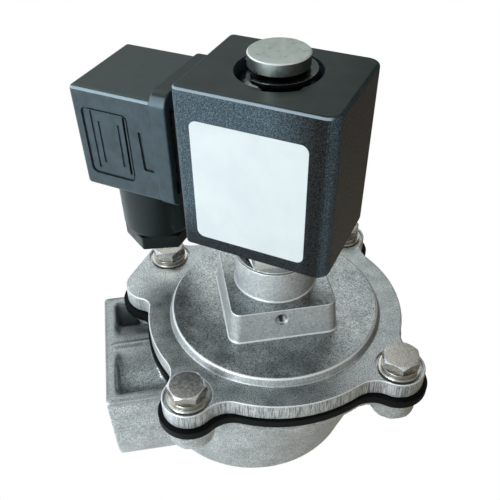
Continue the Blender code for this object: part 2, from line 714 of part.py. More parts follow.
def operator(axis, stainless, rubber, spring_steel):
    """The tube that guides the armature, with its base, seals, armature and fixed core."""
    tube_hole = TUBE_R + SEAT
    hex_bottom = BOSS_TOP + SEAT
    hex_top = hex_bottom + BASE_HEX
    base = hexagon("tube_base", BASE_FLATS, hex_bottom, hex_top, turn=math.radians(BASE_TURN_DEG))
    part(base, axis, stainless)
    corner = BASE_FLATS / math.sqrt(3)
    face = BASE_FLATS / 2
    boolean(base, tool(turned("base_crown", [(0, hex_top), (face, hex_top),
                                             (corner, hex_top - 0.7 * MM),
                                             (corner, hex_bottom + 0.7 * MM),
                                             (face, hex_bottom), (0, hex_bottom)],
                              ROUND, closed=False), axis), "INTERSECT")
    join(base, turned("base_stem", [(0, hex_top + BASE_SHOULDER),
                                    (BASE_SHOULDER_R, hex_top + BASE_SHOULDER),
                                    (BASE_SHOULDER_R, hex_top - MM), (BASE_THREAD_R, hex_top - MM),
                                    (BASE_THREAD_R, BASE_BOTTOM), (0, BASE_BOTTOM)],
                      36, closed=False))
    cut(base, post("base_hole", tube_hole, BASE_BOTTOM - FIT, hex_top + BASE_SHOULDER + FIT,
                   segments=36))
    seal_r = BASE_THREAD_R - O_RING_R
    seal_z = PILOT_FLOOR_Z + FIT + O_RING_R
    seal = [(seal_r + O_RING_R * math.cos(a), seal_z + O_RING_R * math.sin(a))
            for a in [math.radians(90 - 60 * i) for i in range(6)]]
    part(turned("tube_seal", seal, 24), axis, rubber)
    part(ring("core_tube", TUBE_R - TUBE_WALL, TUBE_R, BASE_BOTTOM, TUBE_TOP, 24), axis, stainless)
    guide_r = TUBE_R - TUBE_WALL - SEAT
    groove_top = CAP_BOTTOM
    groove_bottom = CAP_BOTTOM - CLIP_GROOVE
    core = turned("fixed_core", [(0, CAP_TOP), (CAP_R - 0.4 * MM, CAP_TOP),
                                 (CAP_R, CAP_TOP - 0.4 * MM), (CAP_R, CAP_BOTTOM),
                                 (CLIP_GROOVE_R, groove_top), (CLIP_GROOVE_R, groove_bottom),
                                 (TUBE_R, groove_bottom), (TUBE_R, TUBE_TOP + SEAT),
                                 (guide_r, TUBE_TOP + SEAT), (guide_r, CORE_BOTTOM),
                                 (0, CORE_BOTTOM)], 36, closed=False)
    part(core, axis, stainless)
    clip_bottom = groove_bottom + FIT
    start = math.radians(CLIP_TURN_DEG + CLIP_GAP_DEG / 2)
    sweep = math.tau - math.radians(CLIP_GAP_DEG)
    outer = arc((0, 0), CLIP_R, start, start + sweep)
    outer.append((CLIP_R * math.cos(start + sweep), CLIP_R * math.sin(start + sweep)))
    inner_r = CLIP_GROOVE_R + FIT
    inner = arc((0, 0), inner_r, start + sweep, start)
    inner.append((inner_r * math.cos(start), inner_r * math.sin(start)))
    part(prism("retaining_clip", [outer + inner], clip_bottom, clip_bottom + CLIP_THICK),
         axis, spring_steel)
    floor = COIL_TOP - RECESS_DEPTH + SEAT
    dish_top = clip_bottom - SEAT
    outer_r = RECESS_R - 2 * FIT
    inner_r = TUBE_R + FIT
    part(turned("dished_washer", [(inner_r + MM, dish_top), (outer_r, floor + 0.9 * MM),
                                  (outer_r, floor), (outer_r - MM, floor),
                                  (inner_r, dish_top - 0.9 * MM), (inner_r, dish_top)], 36),
         axis, stainless)
    slide_r = guide_r - SEAT
    plunger = turned("armature", [(0, ARMATURE_TOP), (slide_r - 0.4 * MM, ARMATURE_TOP),
                                  (slide_r, ARMATURE_TOP - 0.4 * MM),
                                  (slide_r, ARMATURE_BOTTOM + 0.4 * MM),
                                  (slide_r - 0.4 * MM, ARMATURE_BOTTOM),
                                  (SEAL_R + SEAT, ARMATURE_BOTTOM),
                                  (SEAL_R + SEAT, ARMATURE_BOTTOM + SEAL_THICK),
                                  (0, ARMATURE_BOTTOM + SEAL_THICK)], 36, closed=False)
    part(plunger, axis, stainless)
    spring_floor = ARMATURE_TOP - SPRING_BORE_DEPTH
    cut(plunger, post("spring_bore", SPRING_BORE_R, spring_floor, ARMATURE_TOP + FIT,
                       segments=16))
    for side in (-1, 1):
        groove = box(f"vent_groove_{(side + 3) // 2}",
                     (side * slide_r - ARMATURE_GROOVE, -ARMATURE_GROOVE, ARMATURE_BOTTOM - FIT),
                     (side * slide_r + ARMATURE_GROOVE, ARMATURE_GROOVE, ARMATURE_TOP + FIT))
        cut(plunger, groove)
    part(post("armature_seal", SEAL_R, ARMATURE_BOTTOM, ARMATURE_BOTTOM + SEAL_THICK - SEAT),
         axis, rubber)
    wire = 0.35 * MM
    part(helix("armature_spring", SPRING_BORE_R - wire - SEAT, wire, spring_floor + SEAT,
               CORE_BOTTOM - SEAT, 5), axis, spring_steel, smooth=False)


def coil(axis, plastic, copper, nylon, iron):
    """The moulded coil block with its winding, bobbin and flux plates round the tube."""
    outline = rounded_rectangle(-COIL_LEFT, COIL_RIGHT, -COIL_FRONT, COIL_BACK, COIL_CORNER,
                                COIL_PLUG_CORNER)
    block = prism("coil_housing", [outline], COIL_BOTTOM, COIL_TOP, COIL_EDGE, 2)
    part(block, axis, plastic, smooth=False)
    socket_low = PLUG_MID_Z - SOCKET_HALF
    socket_high = PLUG_MID_Z + SOCKET_HALF
    join(block, box("plug_seat", (-SOCKET_LEFT, PLUG_MID_Y - SOCKET_HALF, socket_low),
                    (-COIL_LEFT + MM, PLUG_MID_Y + SOCKET_HALF, socket_high)))
    bore = TUBE_R + FIT
    cavity_low = COIL_BOTTOM + COIL_END_WALL
    cavity_high = COIL_TOP - RECESS_DEPTH - COIL_END_WALL + MM
    cut(block, post("coil_bore", bore, COIL_BOTTOM - FIT, COIL_TOP + FIT, segments=36),
        post("winding_cavity", COIL_CAVITY_R, cavity_low, cavity_high, segments=36),
        post("clip_recess", RECESS_R, COIL_TOP - RECESS_DEPTH, COIL_TOP + FIT, segments=ROUND),
        box("clip_notch", (NOTCH_LOW_X, -NOTCH_REACH, COIL_TOP - NOTCH_DEPTH),
            (NOTCH_HIGH_X, 0, COIL_TOP + FIT)))
    for index, (y, z, size_y, size_z) in enumerate(blade_places()):
        grow = SEAT
        cut(block, box(f"blade_pocket_{index + 1}",
                       (-SOCKET_LEFT - FIT, y - size_y / 2 - grow, z - size_z / 2 - grow),
                       (-SOCKET_LEFT + BLADE_DEPTH + grow, y + size_y / 2 + grow,
                        z + size_z / 2 + grow)))
    cut(block, cylinder("screw_hole", PLUG_SCREW_R + SEAT, (-SOCKET_LEFT - FIT, PLUG_MID_Y, PLUG_MID_Z),
                        (-SOCKET_LEFT + BLADE_DEPTH, PLUG_MID_Y, PLUG_MID_Z), 12))
    inner = bore
    fill = COIL_CAVITY_R - FIT
    low_plate = cavity_low + SEAT
    high_plate = cavity_high - SEAT
    part(ring("flux_plate_lower", inner, fill, low_plate, low_plate + FLUX_PLATE, 24), axis, iron)
    part(ring("flux_plate_upper", inner, fill, high_plate - FLUX_PLATE, high_plate, 24), axis, iron)
    spool_low = low_plate + FLUX_PLATE + SEAT
    spool_high = high_plate - FLUX_PLATE - SEAT
    wall = inner + BOBBIN_WALL
    low, high = spool_low + BOBBIN_FLANGE, spool_high - BOBBIN_FLANGE
    part(turned("coil_bobbin", [(fill, spool_high), (fill, high), (wall, high), (wall, low),
                                (fill, low), (fill, spool_low), (inner, spool_low),
                                (inner, spool_high)], 24), axis, nylon)
    part(ring("coil_winding", wall + SEAT, fill - SEAT, low + SEAT, high - SEAT, 24), axis, copper)


def blade_places():
    """Centre and size, along y and z, of the two power blades and the earth blade."""
    low_z = PLUG_MID_Z - BLADE_SPREAD
    return [(PLUG_MID_Y - BLADE_SPREAD, PLUG_MID_Z + MM, BLADE_THICK, BLADE_WIDTH),
            (PLUG_MID_Y + BLADE_SPREAD, PLUG_MID_Z + MM, BLADE_THICK, BLADE_WIDTH),
            (PLUG_MID_Y, low_z, BLADE_WIDTH, BLADE_THICK)]


def plug(axis, plastic, nylon, rubber, brass, steel):
    """The square plug: hooded housing with the gland neck, terminal block, seal and screws."""
    shell = box("plug_housing", (-PLUG_LEFT, -PLUG_FRONT, PLUG_BOTTOM),
                (-SKIRT_LEFT + 2 * MM, PLUG_BACK, PLUG_TOP), PLUG_ROUND)
    part(shell, axis, plastic, smooth=False)
    front = -PLUG_FRONT - SKIRT_PROUD
    back = PLUG_BACK + SKIRT_PROUD
    outline = rounded_rectangle(front, back, SKIRT_BOTTOM, SKIRT_TOP, SKIRT_ROUND, SKIRT_ROUND)
    skirt = prism("skirt", [outline], SKIRT_RIGHT, SKIRT_LEFT)
    skirt.data.transform(Matrix(((0, 0, -1, 0), (1, 0, 0, 0), (0, 1, 0, 0), (0, 0, 0, 1))))
    skirt.data.flip_normals()
    join(shell, skirt)
    neck_top = PLUG_BOTTOM + PLUG_WALL / 2
    neck = turned("gland_neck", [(0, neck_top), (NECK_R, neck_top),
                                 (NECK_R, NUT_TOP + SEAT + NECK_TAPER),
                                 (NECK_R - NECK_TAPER / 2, NUT_TOP + SEAT),
                                 (0, NUT_TOP + SEAT)], 32, closed=False)
    join(shell, moved(neck, GLAND_X, PLUG_MID_Y))
    cavity_half = SOCKET_HALF + FIT
    cut(shell, box("plug_cavity", (-PLUG_LEFT + PLUG_WALL, PLUG_MID_Y - cavity_half,
                                   PLUG_BOTTOM + PLUG_WALL),
                   (-SKIRT_RIGHT + FIT, PLUG_MID_Y + cavity_half, PLUG_TOP - PLUG_WALL)))
    grommet_bottom = SPIGOT_TOP + GLAND_RING + 2 * SEAT
    grommet_top = grommet_bottom + GROMMET_LENGTH
    cut(shell, post("gland_bore", GLAND_BORE_R, NUT_BOTTOM, grommet_top + SEAT,
                    GLAND_X, PLUG_MID_Y),
        post("wire_hole", GLAND_BORE_R - 2 * MM, grommet_top, PLUG_BOTTOM + PLUG_WALL + MM,
             GLAND_X, PLUG_MID_Y))
    head_depth = 1.6 * MM
    cut(shell, cylinder("screw_passage", PLUG_SCREW_R + FIT, (-PLUG_LEFT - FIT, PLUG_MID_Y, PLUG_MID_Z),
                        (-PLUG_LEFT + PLUG_WALL + MM, PLUG_MID_Y, PLUG_MID_Z), 12),
        cylinder("screw_recess", PLUG_SCREW_HEAD_R + FIT, (-PLUG_LEFT - FIT, PLUG_MID_Y, PLUG_MID_Z),
                 (-PLUG_LEFT + head_depth, PLUG_MID_Y, PLUG_MID_Z), 20))
    seat_x = -PLUG_LEFT + head_depth - SEAT
    seal_x = seat_x - 0.5 * MM
    seal = cylinder("screw_seal", PLUG_SCREW_HEAD_R, (seal_x, PLUG_MID_Y, PLUG_MID_Z),
                    (seat_x, PLUG_MID_Y, PLUG_MID_Z), 20)
    part(seal, axis, rubber)
    cut(seal, cylinder("seal_hole", PLUG_SCREW_R + FIT, (seal_x - FIT, PLUG_MID_Y, PLUG_MID_Z),
                       (seat_x + FIT, PLUG_MID_Y, PLUG_MID_Z), 12))
    head_x = seal_x - SEAT
    screw = cylinder("plug_screw", PLUG_SCREW_HEAD_R, (head_x - 1.3 * MM, PLUG_MID_Y, PLUG_MID_Z),
                     (head_x, PLUG_MID_Y, PLUG_MID_Z), 20)
    part(screw, axis, steel)
    join(screw, cylinder("plug_screw_shank", PLUG_SCREW_R, (head_x - 0.5 * MM, PLUG_MID_Y, PLUG_MID_Z),
                         (-SOCKET_LEFT + BLADE_DEPTH - FIT, PLUG_MID_Y, PLUG_MID_Z), 12))
    cut(screw, box("screw_slot", (head_x - 1.3 * MM - FIT, PLUG_MID_Y - PLUG_SCREW_HEAD_R - FIT,
                                  PLUG_MID_Z - 0.35 * MM),
                   (head_x - 0.7 * MM, PLUG_MID_Y + PLUG_SCREW_HEAD_R + FIT,
                    PLUG_MID_Z + 0.35 * MM)))
    reach = SOCKET_HALF - FIT
    insert = box("terminal_block", (-TERMINAL_LEFT, PLUG_MID_Y - reach, PLUG_MID_Z - reach),
                 (-TERMINAL_RIGHT, PLUG_MID_Y + reach, PLUG_MID_Z + reach), 0.6 * MM, 1)
    part(insert, axis, nylon)
    cut(insert, cylinder("block_passage", PLUG_SCREW_R + FIT,
                         (-TERMINAL_LEFT - FIT, PLUG_MID_Y, PLUG_MID_Z),
                         (-TERMINAL_RIGHT + FIT, PLUG_MID_Y, PLUG_MID_Z), 12))
    blade_end = -SOCKET_LEFT + BLADE_DEPTH
    blade_tip = blade_end - BLADE_LENGTH
    for index, (y, z, size_y, size_z) in enumerate(blade_places()):
        name = str(index + 1)
        part(box("contact_blade_" + name, (blade_tip, y - size_y / 2, z - size_z / 2),
                 (blade_end, y + size_y / 2, z + size_z / 2)), axis, brass)
        cut(insert, box("blade_slot_" + name,
                        (blade_tip - FIT, y - size_y / 2 - SEAT, z - size_z / 2 - SEAT),
                        (-TERMINAL_RIGHT + FIT, y + size_y / 2 + SEAT, z + size_z / 2 + SEAT)))
        screw_z = z + (5.0 * MM if index < 2 else -2.0 * MM)
        stem_end = -TERMINAL_LEFT + 6 * MM
        cut(insert, cylinder("terminal_hole_" + name, TERMINAL_SCREW_R + SEAT,
                             (-TERMINAL_LEFT - FIT, y, screw_z), (stem_end + SEAT, y, screw_z), 12))
        head = cylinder("terminal_screw_" + name, TERMINAL_HEAD_R,
                        (-TERMINAL_LEFT - 1.2 * MM, y, screw_z),
                        (-TERMINAL_LEFT - SEAT, y, screw_z), 16)
        part(head, axis, brass)
        join(head, cylinder("terminal_stem_" + name, TERMINAL_SCREW_R,
                            (-TERMINAL_LEFT - 0.6 * MM, y, screw_z), (stem_end, y, screw_z), 12))
    gasket_left = -SKIRT_RIGHT + SEAT
    gasket_half = SOCKET_HALF - FIT
    gasket = box("plug_gasket", (gasket_left, PLUG_MID_Y - gasket_half, PLUG_MID_Z - gasket_half),
                 (-SOCKET_LEFT - SEAT, PLUG_MID_Y + gasket_half, PLUG_MID_Z + gasket_half))
    part(gasket, axis, rubber)
    window = gasket_half - 2.4 * MM
    cut(gasket, box("gasket_window", (gasket_left - FIT, PLUG_MID_Y - window, PLUG_MID_Z - window),
                    (-SOCKET_LEFT, PLUG_MID_Y + window, PLUG_MID_Z + window)))


def gland(axis, plastic, nylon, rubber):
    """The compression nut, slip ring and grommet that close round the cable."""
    nut = hexagon("gland_nut", NUT_FLATS, NUT_BOTTOM, NUT_TOP, GLAND_X, PLUG_MID_Y)
    part(nut, axis, plastic)
    spigot_r = GLAND_BORE_R - FIT
    join(nut, post("nut_spigot", spigot_r, NUT_TOP - MM, SPIGOT_TOP, GLAND_X, PLUG_MID_Y))
    cut(nut, post("nut_bore", NUT_BORE_R, NUT_BOTTOM - FIT, SPIGOT_TOP + FIT, GLAND_X, PLUG_MID_Y))
    ring_bottom = SPIGOT_TOP + SEAT
    slip = ring("gland_ring", NUT_BORE_R, spigot_r, ring_bottom, ring_bottom + GLAND_RING)
    part(moved(slip, GLAND_X, PLUG_MID_Y), axis, nylon)
    grommet_bottom = ring_bottom + GLAND_RING + SEAT
    grommet = ring("gland_grommet", CABLE_HOLE_R, spigot_r, grommet_bottom,
                   grommet_bottom + GROMMET_LENGTH)
    part(moved(grommet, GLAND_X, PLUG_MID_Y), axis, rubber)


def main():
    clear_scene()
    cast = finish("cast_aluminium", (0.36, 0.38, 0.38), 0.42, 1.0)
    stainless = finish("stainless_steel", (0.56, 0.57, 0.55), 0.25, 1.0)
    zinc = finish("zinc_plated_steel", (0.45, 0.43, 0.39), 0.3, 1.0)
    spring_steel = finish("spring_steel", (0.12, 0.12, 0.12), 0.35, 1.0)
    iron = finish("soft_iron", (0.3, 0.3, 0.3), 0.5, 1.0)
    rubber = finish("nitrile_rubber", (0.01, 0.012, 0.012), 0.55, 0.0)
    glass_nylon = finish("glass_filled_nylon", (0.03, 0.036, 0.042), 0.45, 0.0)
    housing_black = finish("moulded_plug_black", (0.028, 0.034, 0.038), 0.4, 0.0)
    nylon = finish("grey_nylon", (0.2, 0.2, 0.19), 0.5, 0.0)
    copper = finish("enamelled_copper", (0.5, 0.18, 0.08), 0.3, 1.0)
    brass = finish("tinned_brass", (0.6, 0.55, 0.4), 0.3, 1.0)
    valve_axis = axis_empty("valve_axis", None, (VALVE_X, 0, 0))
    coil_axis = axis_empty("coil_axis", valve_axis, turn=math.radians(COIL_TURN_DEG))
    valve_body(valve_axis, cast)
    diaphragm(valve_axis, rubber)
    diaphragm_hardware(valve_axis, zinc, spring_steel)
    cover(valve_axis, cast)
    cover_bolts(valve_axis, zinc)
    operator(valve_axis, stainless, rubber, spring_steel)
    coil(coil_axis, glass_nylon, copper, nylon, iron)
    plug(coil_axis, housing_black, nylon, rubber, brass, zinc)
    gland(coil_axis, housing_black, nylon, rubber)
    bpy.context.view_layer.update()


main()
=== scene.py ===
"""Looks of the right-angle diaphragm pulse valve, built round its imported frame.

Lengths are in metres in the row frame: +Z is up and the photograph is taken from -Y. The valve's
vertical axis stands at VALVE_X. Coil and plug are laid out square and then turned on that axis.
"""
import json
import math

import bmesh
import bpy
from mathutils import Matrix, Vector


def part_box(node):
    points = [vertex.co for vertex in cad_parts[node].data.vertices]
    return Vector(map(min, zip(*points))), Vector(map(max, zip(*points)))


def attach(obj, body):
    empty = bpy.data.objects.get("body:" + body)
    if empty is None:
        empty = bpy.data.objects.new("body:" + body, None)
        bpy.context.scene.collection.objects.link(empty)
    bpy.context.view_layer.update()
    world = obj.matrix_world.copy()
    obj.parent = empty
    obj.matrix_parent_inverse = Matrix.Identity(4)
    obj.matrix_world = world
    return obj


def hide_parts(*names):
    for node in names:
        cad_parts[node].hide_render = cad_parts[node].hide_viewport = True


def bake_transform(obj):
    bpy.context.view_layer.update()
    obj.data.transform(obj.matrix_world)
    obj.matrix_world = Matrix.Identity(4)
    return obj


MM = 0.001
VALVE_X = 7.2 * MM
COIL_TURN_DEG = -34.4

# Camera of the photograph
CAMERA_AT = (-23.59 * MM, -144.71 * MM, 200.34 * MM)
CAMERA_RIGHT = (0.9866, -0.1621, -0.0185)
CAMERA_UP = (0.1274, 0.6945, 0.7082)
CAMERA_BACK = (-0.1020, -0.7010, 0.7058)
CAMERA_LENS = 46.57
CAMERA_SHIFT = (0.0115, 0.1207)

# Heights and sizes shared with the frame
BODY_TOP = 46.2 * MM
BODY_WALL = 4.0 * MM
BODY_FLANGE = 3.6 * MM
SKIN_CELL = 0.69 * MM
BODY_R = 39.6 * MM
BOWL_TOP_R = 36.8 * MM
BOWL_BASE_R = 33.4 * MM
BOWL_BASE_Z = 13.1 * MM
BOWL_SHIFT = 7.4 * MM
BOWL_ROUND = 2.5 * MM
EAR_BOSS_R = 6.9 * MM
EAR_BOSS_DEPTH = 8.5 * MM
OUTLET_R = 21.5 * MM
ORIFICE_R = 12.5 * MM
SEAT_R = 15.5 * MM
SEAT_Z = 41.7 * MM
THREAD_R = 16.6 * MM
THREAD_DEPTH = 14.0 * MM
THREAD_PITCH = 2.309 * MM
THREAD_HEIGHT = 1.2 * MM
THREAD_LENGTH = 12.0 * MM
THREAD_SUNK = 0.1 * MM
THREAD_TURN_POINTS = 72
THREAD_ROOT_SHARE = 0.48
THREAD_TIP_SHARE = 0.07
THREAD_FADE_TURNS = 0.25
INLET_REACH = 55.3 * MM
INLET_Z = 26.7 * MM
INLET_HALF = 23.0 * MM
INLET_BORE_R = 15.4 * MM
BARREL_R = 19.5 * MM
POCKET_WALL = 3.6 * MM
POCKET_END = 3.8 * MM
BOLT_OFFSET = 31.0 * MM
COVER_R = 40.2 * MM
EAR_R = 7.6 * MM
EAR_FILLET = 8.0 * MM
LUG_X = -38.2 * MM
LUG_Y = 18.4 * MM
LUG_R = 8.4 * MM
RIM_PROUD = 0.7 * MM
RIM_EAR_PROUD = 1.5 * MM
RIM_BOTTOM = 46.35 * MM
RIM_TOP = 49.25 * MM
WEB_BOTTOM = 41.85 * MM
WEB_THICK = 1.5 * MM
WEB_OUTER_R = 30.0 * MM
WEB_INNER_R = 17.5 * MM
HUB_HOLE_R = 3.2 * MM
COVER_BOTTOM = 49.4 * MM
COVER_TOP = 55.1 * MM
DISC_TOP = 57.6 * MM
DISC_R = 32.1 * MM
DISC_FOOT_R = 33.3 * MM
DOME_R = 29.0 * MM
DOME_ROOF = 54.0 * MM
SPRING_POCKET_R = 9.0 * MM
SPRING_POCKET_Z = 61.0 * MM
PAD_HALF = 15.6 * MM
PAD_DRAFT = 0.8 * MM
PAD_ROUND = 3.2 * MM
PAD_TOP = 68.2 * MM
BOSS_R = 12.0 * MM
BOSS_TOP = 78.5 * MM
TUBE_HOLE_R = 8.9 * MM
PILOT_FLOOR_Z = 71.0 * MM
EXHAUST_R = 1.6 * MM
EXHAUST_X = -0.9 * MM
EXHAUST_Z = 64.8 * MM
BOLT_R = 2.9 * MM
SPOT_R = 7.0 * MM
SPOT_DEPTH = 1.0 * MM
WASHER_R = 6.2 * MM
WASHER_THICK = 0.9 * MM
SPLIT_R = 5.4 * MM
SPLIT_THICK = 1.1 * MM
SPLIT_GAP = 0.9 * MM
HEAD_FLATS = 10.0 * MM
HEAD_RISE = 3.3 * MM
BOLT_LENGTH = 18.0 * MM
BOLT_TURNS_DEG = (20, 47, 8, 33)
FIT = 0.3 * MM
SEAT = 0.15 * MM
BASE_FLATS = 20.6 * MM
BASE_HEX = 6.2 * MM
BASE_TURN_DEG = 20.0
BASE_SHOULDER_R = 8.2 * MM
BASE_SHOULDER = 1.6 * MM
BASE_THREAD_R = 8.6 * MM
BASE_BOTTOM = 73.0 * MM
TUBE_R = 6.5 * MM
CAP_R = 7.6 * MM
CAP_TOP = 137.5 * MM
CAP_RISE = 3.1 * MM
CAP_COLLAR_R = 6.7 * MM
CAP_COLLAR = 0.4 * MM
CLIP_GROOVE_R = 5.2 * MM
CLIP_GROOVE = 1.7 * MM
CLIP_R = 9.4 * MM
CLIP_THICK = 1.0 * MM
CLIP_GAP_DEG = 76.0
CLIP_TURN_DEG = 178.0
COIL_LEFT = 19.9 * MM
COIL_RIGHT = 21.1 * MM
COIL_FRONT = 17.4 * MM
COIL_BACK = 15.0 * MM
COIL_BOTTOM = 87.4 * MM
COIL_TOP = 133.0 * MM
COIL_CORNER = 3.6 * MM
COIL_PLUG_CORNER = 1.6 * MM
COIL_EDGE = 1.0 * MM
COIL_CAVITY_R = 13.0 * MM
RECESS_R = 10.8 * MM
RECESS_DEPTH = 4.0 * MM
PLUG_LEFT = 53.2 * MM
PLUG_FRONT = 13.3 * MM
PLUG_BACK = 15.1 * MM
PLUG_BOTTOM = 95.6 * MM
PLUG_TOP = 125.2 * MM
PLUG_ROUND = 1.2 * MM
PLUG_WALL = 2.4 * MM
PLUG_MID_Y = 0.9 * MM
PLUG_MID_Z = 110.4 * MM
SKIRT_LEFT = 29.1 * MM
SKIRT_RIGHT = 24.4 * MM
SKIRT_PROUD = 0.3 * MM
SKIRT_BOTTOM = 94.0 * MM
SKIRT_TOP = 127.2 * MM
SKIRT_ROUND = 4.0 * MM
SOCKET_LEFT = 22.0 * MM
SOCKET_HALF = 12.0 * MM
GLAND_X = -40.0 * MM
NECK_R = 10.9 * MM
NECK_TAPER = 1.6 * MM
NUT_FLATS = 19.1 * MM
NUT_BOTTOM = 72.3 * MM
NUT_TOP = 77.0 * MM
SPIGOT_TOP = 83.5 * MM
GLAND_BORE_R = 7.6 * MM
GLAND_BORE_TOP = 91.95 * MM
NUT_BORE_R = 4.4 * MM
LABEL_LEFT = 15.5 * MM
LABEL_RIGHT = 14.8 * MM
LABEL_BOTTOM = 91.5 * MM
LABEL_TOP = 125.4 * MM
LABEL_THICK = 0.12 * MM
LABEL_SUNK = 0.02 * MM
NOTCH_LEFT = 0.3 * MM
NOTCH_RIGHT = 8.6 * MM
NOTCH_REACH = 0.9 * MM
NOTCH_DEPTH = 1.6 * MM
PANEL = (-50.5 * MM, -36.2 * MM, 100 * MM, 120 * MM)
PANEL_FRAME = 0.7 * MM
PANEL_SUNK = 0.3 * MM
TAB = (-32.9 * MM, -30.0 * MM, 105.0 * MM, 116.0 * MM)
GROOVE_WIDTH = 0.7 * MM
GROOVE_DEPTH = 0.7 * MM
# Grip grooves on the plug's front, as two (x, height) ends each, in millimetres
GRIP_GROOVES = [((-47.6, 119.0), (-47.6, 102.0)), ((-45.5, 116.5), (-45.5, 104.0)),
                ((-39.5, 116.5), (-39.5, 104.0)), ((-37.6, 119.0), (-37.6, 102.0)),
                ((-33.1, 116.0), (-32.7, 105.0)), ((-32.8, 105.0), (-29.9, 105.0))]

BOLT_PLACES = [(sx * BOLT_OFFSET, sy * BOLT_OFFSET) for sy in (-1, 1) for sx in (-1, 1)]
VALVE = Matrix.Translation((VALVE_X, 0, 0))
COIL = VALVE @ Matrix.Rotation(math.radians(COIL_TURN_DEG), 4, "Z")

# Sizes of the patterns, in millimetres. Cast and spark-eroded grain are really about 0.1, and turning
# marks and trimming lines about 0.05. Each is drawn as coarse as it needs to show.
CAST_GRAIN = 0.34
CAST_PATCH = 0.8
CAST_BLOTCH = 5.0
TRIM_LINE = 0.3
TRIM_STRETCH = 0.06
FOOT_RINGS = 0.3
CAP_RINGS = 0.12
STEEL_WEAR = 2.5
PLATING_BLOTCH = 0.9
PLATING_GRAIN = 0.4
METAL_WEAR = 1.5
RUBBER_DUST = 1.2
RUBBER_GRAIN = 0.3
NYLON_GRAIN = 0.3
NYLON_FLOW = 6.0
PLUG_FLOW = 3.0
PLUG_GRAIN = 0.25
INNER_FLOW = 2.0
FILM_CLOUD = 9.0
FILM_GRAIN = 0.6

# A Mix node's inputs for a share and two colours, and its settings for colours
SHARE, UNDER, OVER = 0, 6, 7
COLOURS = {"data_type": "RGBA", "out": 2}

# What each turned form is divided into
FINE = 96
ARC_STEP = math.radians(5.0)

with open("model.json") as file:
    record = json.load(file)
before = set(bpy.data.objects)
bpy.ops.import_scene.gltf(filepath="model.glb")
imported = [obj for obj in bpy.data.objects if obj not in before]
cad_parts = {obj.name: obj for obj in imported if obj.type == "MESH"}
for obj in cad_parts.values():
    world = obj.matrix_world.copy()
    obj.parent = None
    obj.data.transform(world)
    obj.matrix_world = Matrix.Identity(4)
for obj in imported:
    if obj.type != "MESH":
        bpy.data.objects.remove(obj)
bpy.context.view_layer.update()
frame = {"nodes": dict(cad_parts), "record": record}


# Materials

def linear(hex_colour):
    """An sRGB hex colour as linear red, green, blue and alpha."""
    channels = [int(hex_colour[i:i + 2], 16) / 255 for i in (1, 3, 5)]
    return (*[c / 12.92 if c <= 0.04045 else ((c + 0.055) / 1.055) ** 2.4 for c in channels], 1.0)


def feed(node, inputs):
    """Gives a node its inputs, each as a value or as another node's output."""
    for key, value in inputs.items():
        if isinstance(value, bpy.types.NodeSocket):
            node.id_data.links.new(value, node.inputs[key])
        else:
            node.inputs[key].default_value = value


def add(tree, kind, inputs=None, out=0, stops=(), **settings):
    """Adds a node with its settings, colour stops and inputs, and gives back one of its outputs."""
    node = tree.nodes.new(kind)
    for key, value in settings.items():
        setattr(node, key, value)
    for index, (place, colour) in enumerate(stops):
        points = node.color_ramp.elements
        point = points[index] if index < len(points) else points.new(place)
        point.position = place
        point.color = linear(colour)
    feed(node, inputs or {})
    return node.outputs[out] if node.outputs else node


def surface(name, colour, roughness, metallic=0.0):
    """A new material, its node tree and its main shader."""
    material = bpy.data.materials.new(name)
    material.use_nodes = True
    shader = material.node_tree.nodes["Principled BSDF"]
    feed(shader, {"Base Color": linear(colour), "Roughness": roughness, "Metallic": metallic})
    return material, material.node_tree, shader


def in_millimetres(tree):
    """The place on the object in millimetres, which a noise's scale, at most 1,000, can divide."""
    place = add(tree, "ShaderNodeTexCoord", out="Object")
    return add(tree, "ShaderNodeVectorMath", {0: place, 1: (1000, 1000, 1000)},
               operation="MULTIPLY")


def slant_share(tree, rise, low, high, strength=1.0):
    """A share on faces whose normal's upward part lies between two values, as on rounded edges."""
    enter = add(tree, "ShaderNodeMapRange", {"Value": rise, "From Min": low, "From Max": low + 0.15,
                                             "To Max": strength})
    leave = add(tree, "ShaderNodeMapRange", {"Value": rise, "From Min": high, "From Max": high + 0.08,
                                             "To Min": 1.0, "To Max": 0.0})
    return add(tree, "ShaderNodeMath", {0: enter, 1: leave}, operation="MULTIPLY")


def lit_edge(tree, strength):
    """A share for a painted highlight on rounded edges that slant up and toward the front left."""
    facing = add(tree, "ShaderNodeNewGeometry", out="Normal")
    across = add(tree, "ShaderNodeSeparateXYZ", {"Vector": facing}, "X")
    rise = add(tree, "ShaderNodeSeparateXYZ", {"Vector": facing}, "Z")
    left = add(tree, "ShaderNodeMapRange", {"Value": across, "From Min": -0.15, "From Max": 0.1,
                                            "To Min": strength, "To Max": 0.0})
    return add(tree, "ShaderNodeMath", {0: slant_share(tree, rise, 0.2, 0.75), 1: left},
               operation="MULTIPLY")


def coil_reach(tree, low, high, start=0.0, end=1.0):
    """A value that changes along the coil's front, from the plug's end to the right side."""
    turn = math.radians(COIL_TURN_DEG)
    place = add(tree, "ShaderNodeTexCoord", out="Object")
    along = add(tree, "ShaderNodeVectorMath", {0: place, 1: (math.cos(turn), math.sin(turn), 0)},
                "Value", operation="DOT_PRODUCT")
    middle = VALVE_X * math.cos(turn)
    return add(tree, "ShaderNodeMapRange", {"Value": along, "From Min": middle + low,
                                            "From Max": middle + high, "To Min": start, "To Max": end})


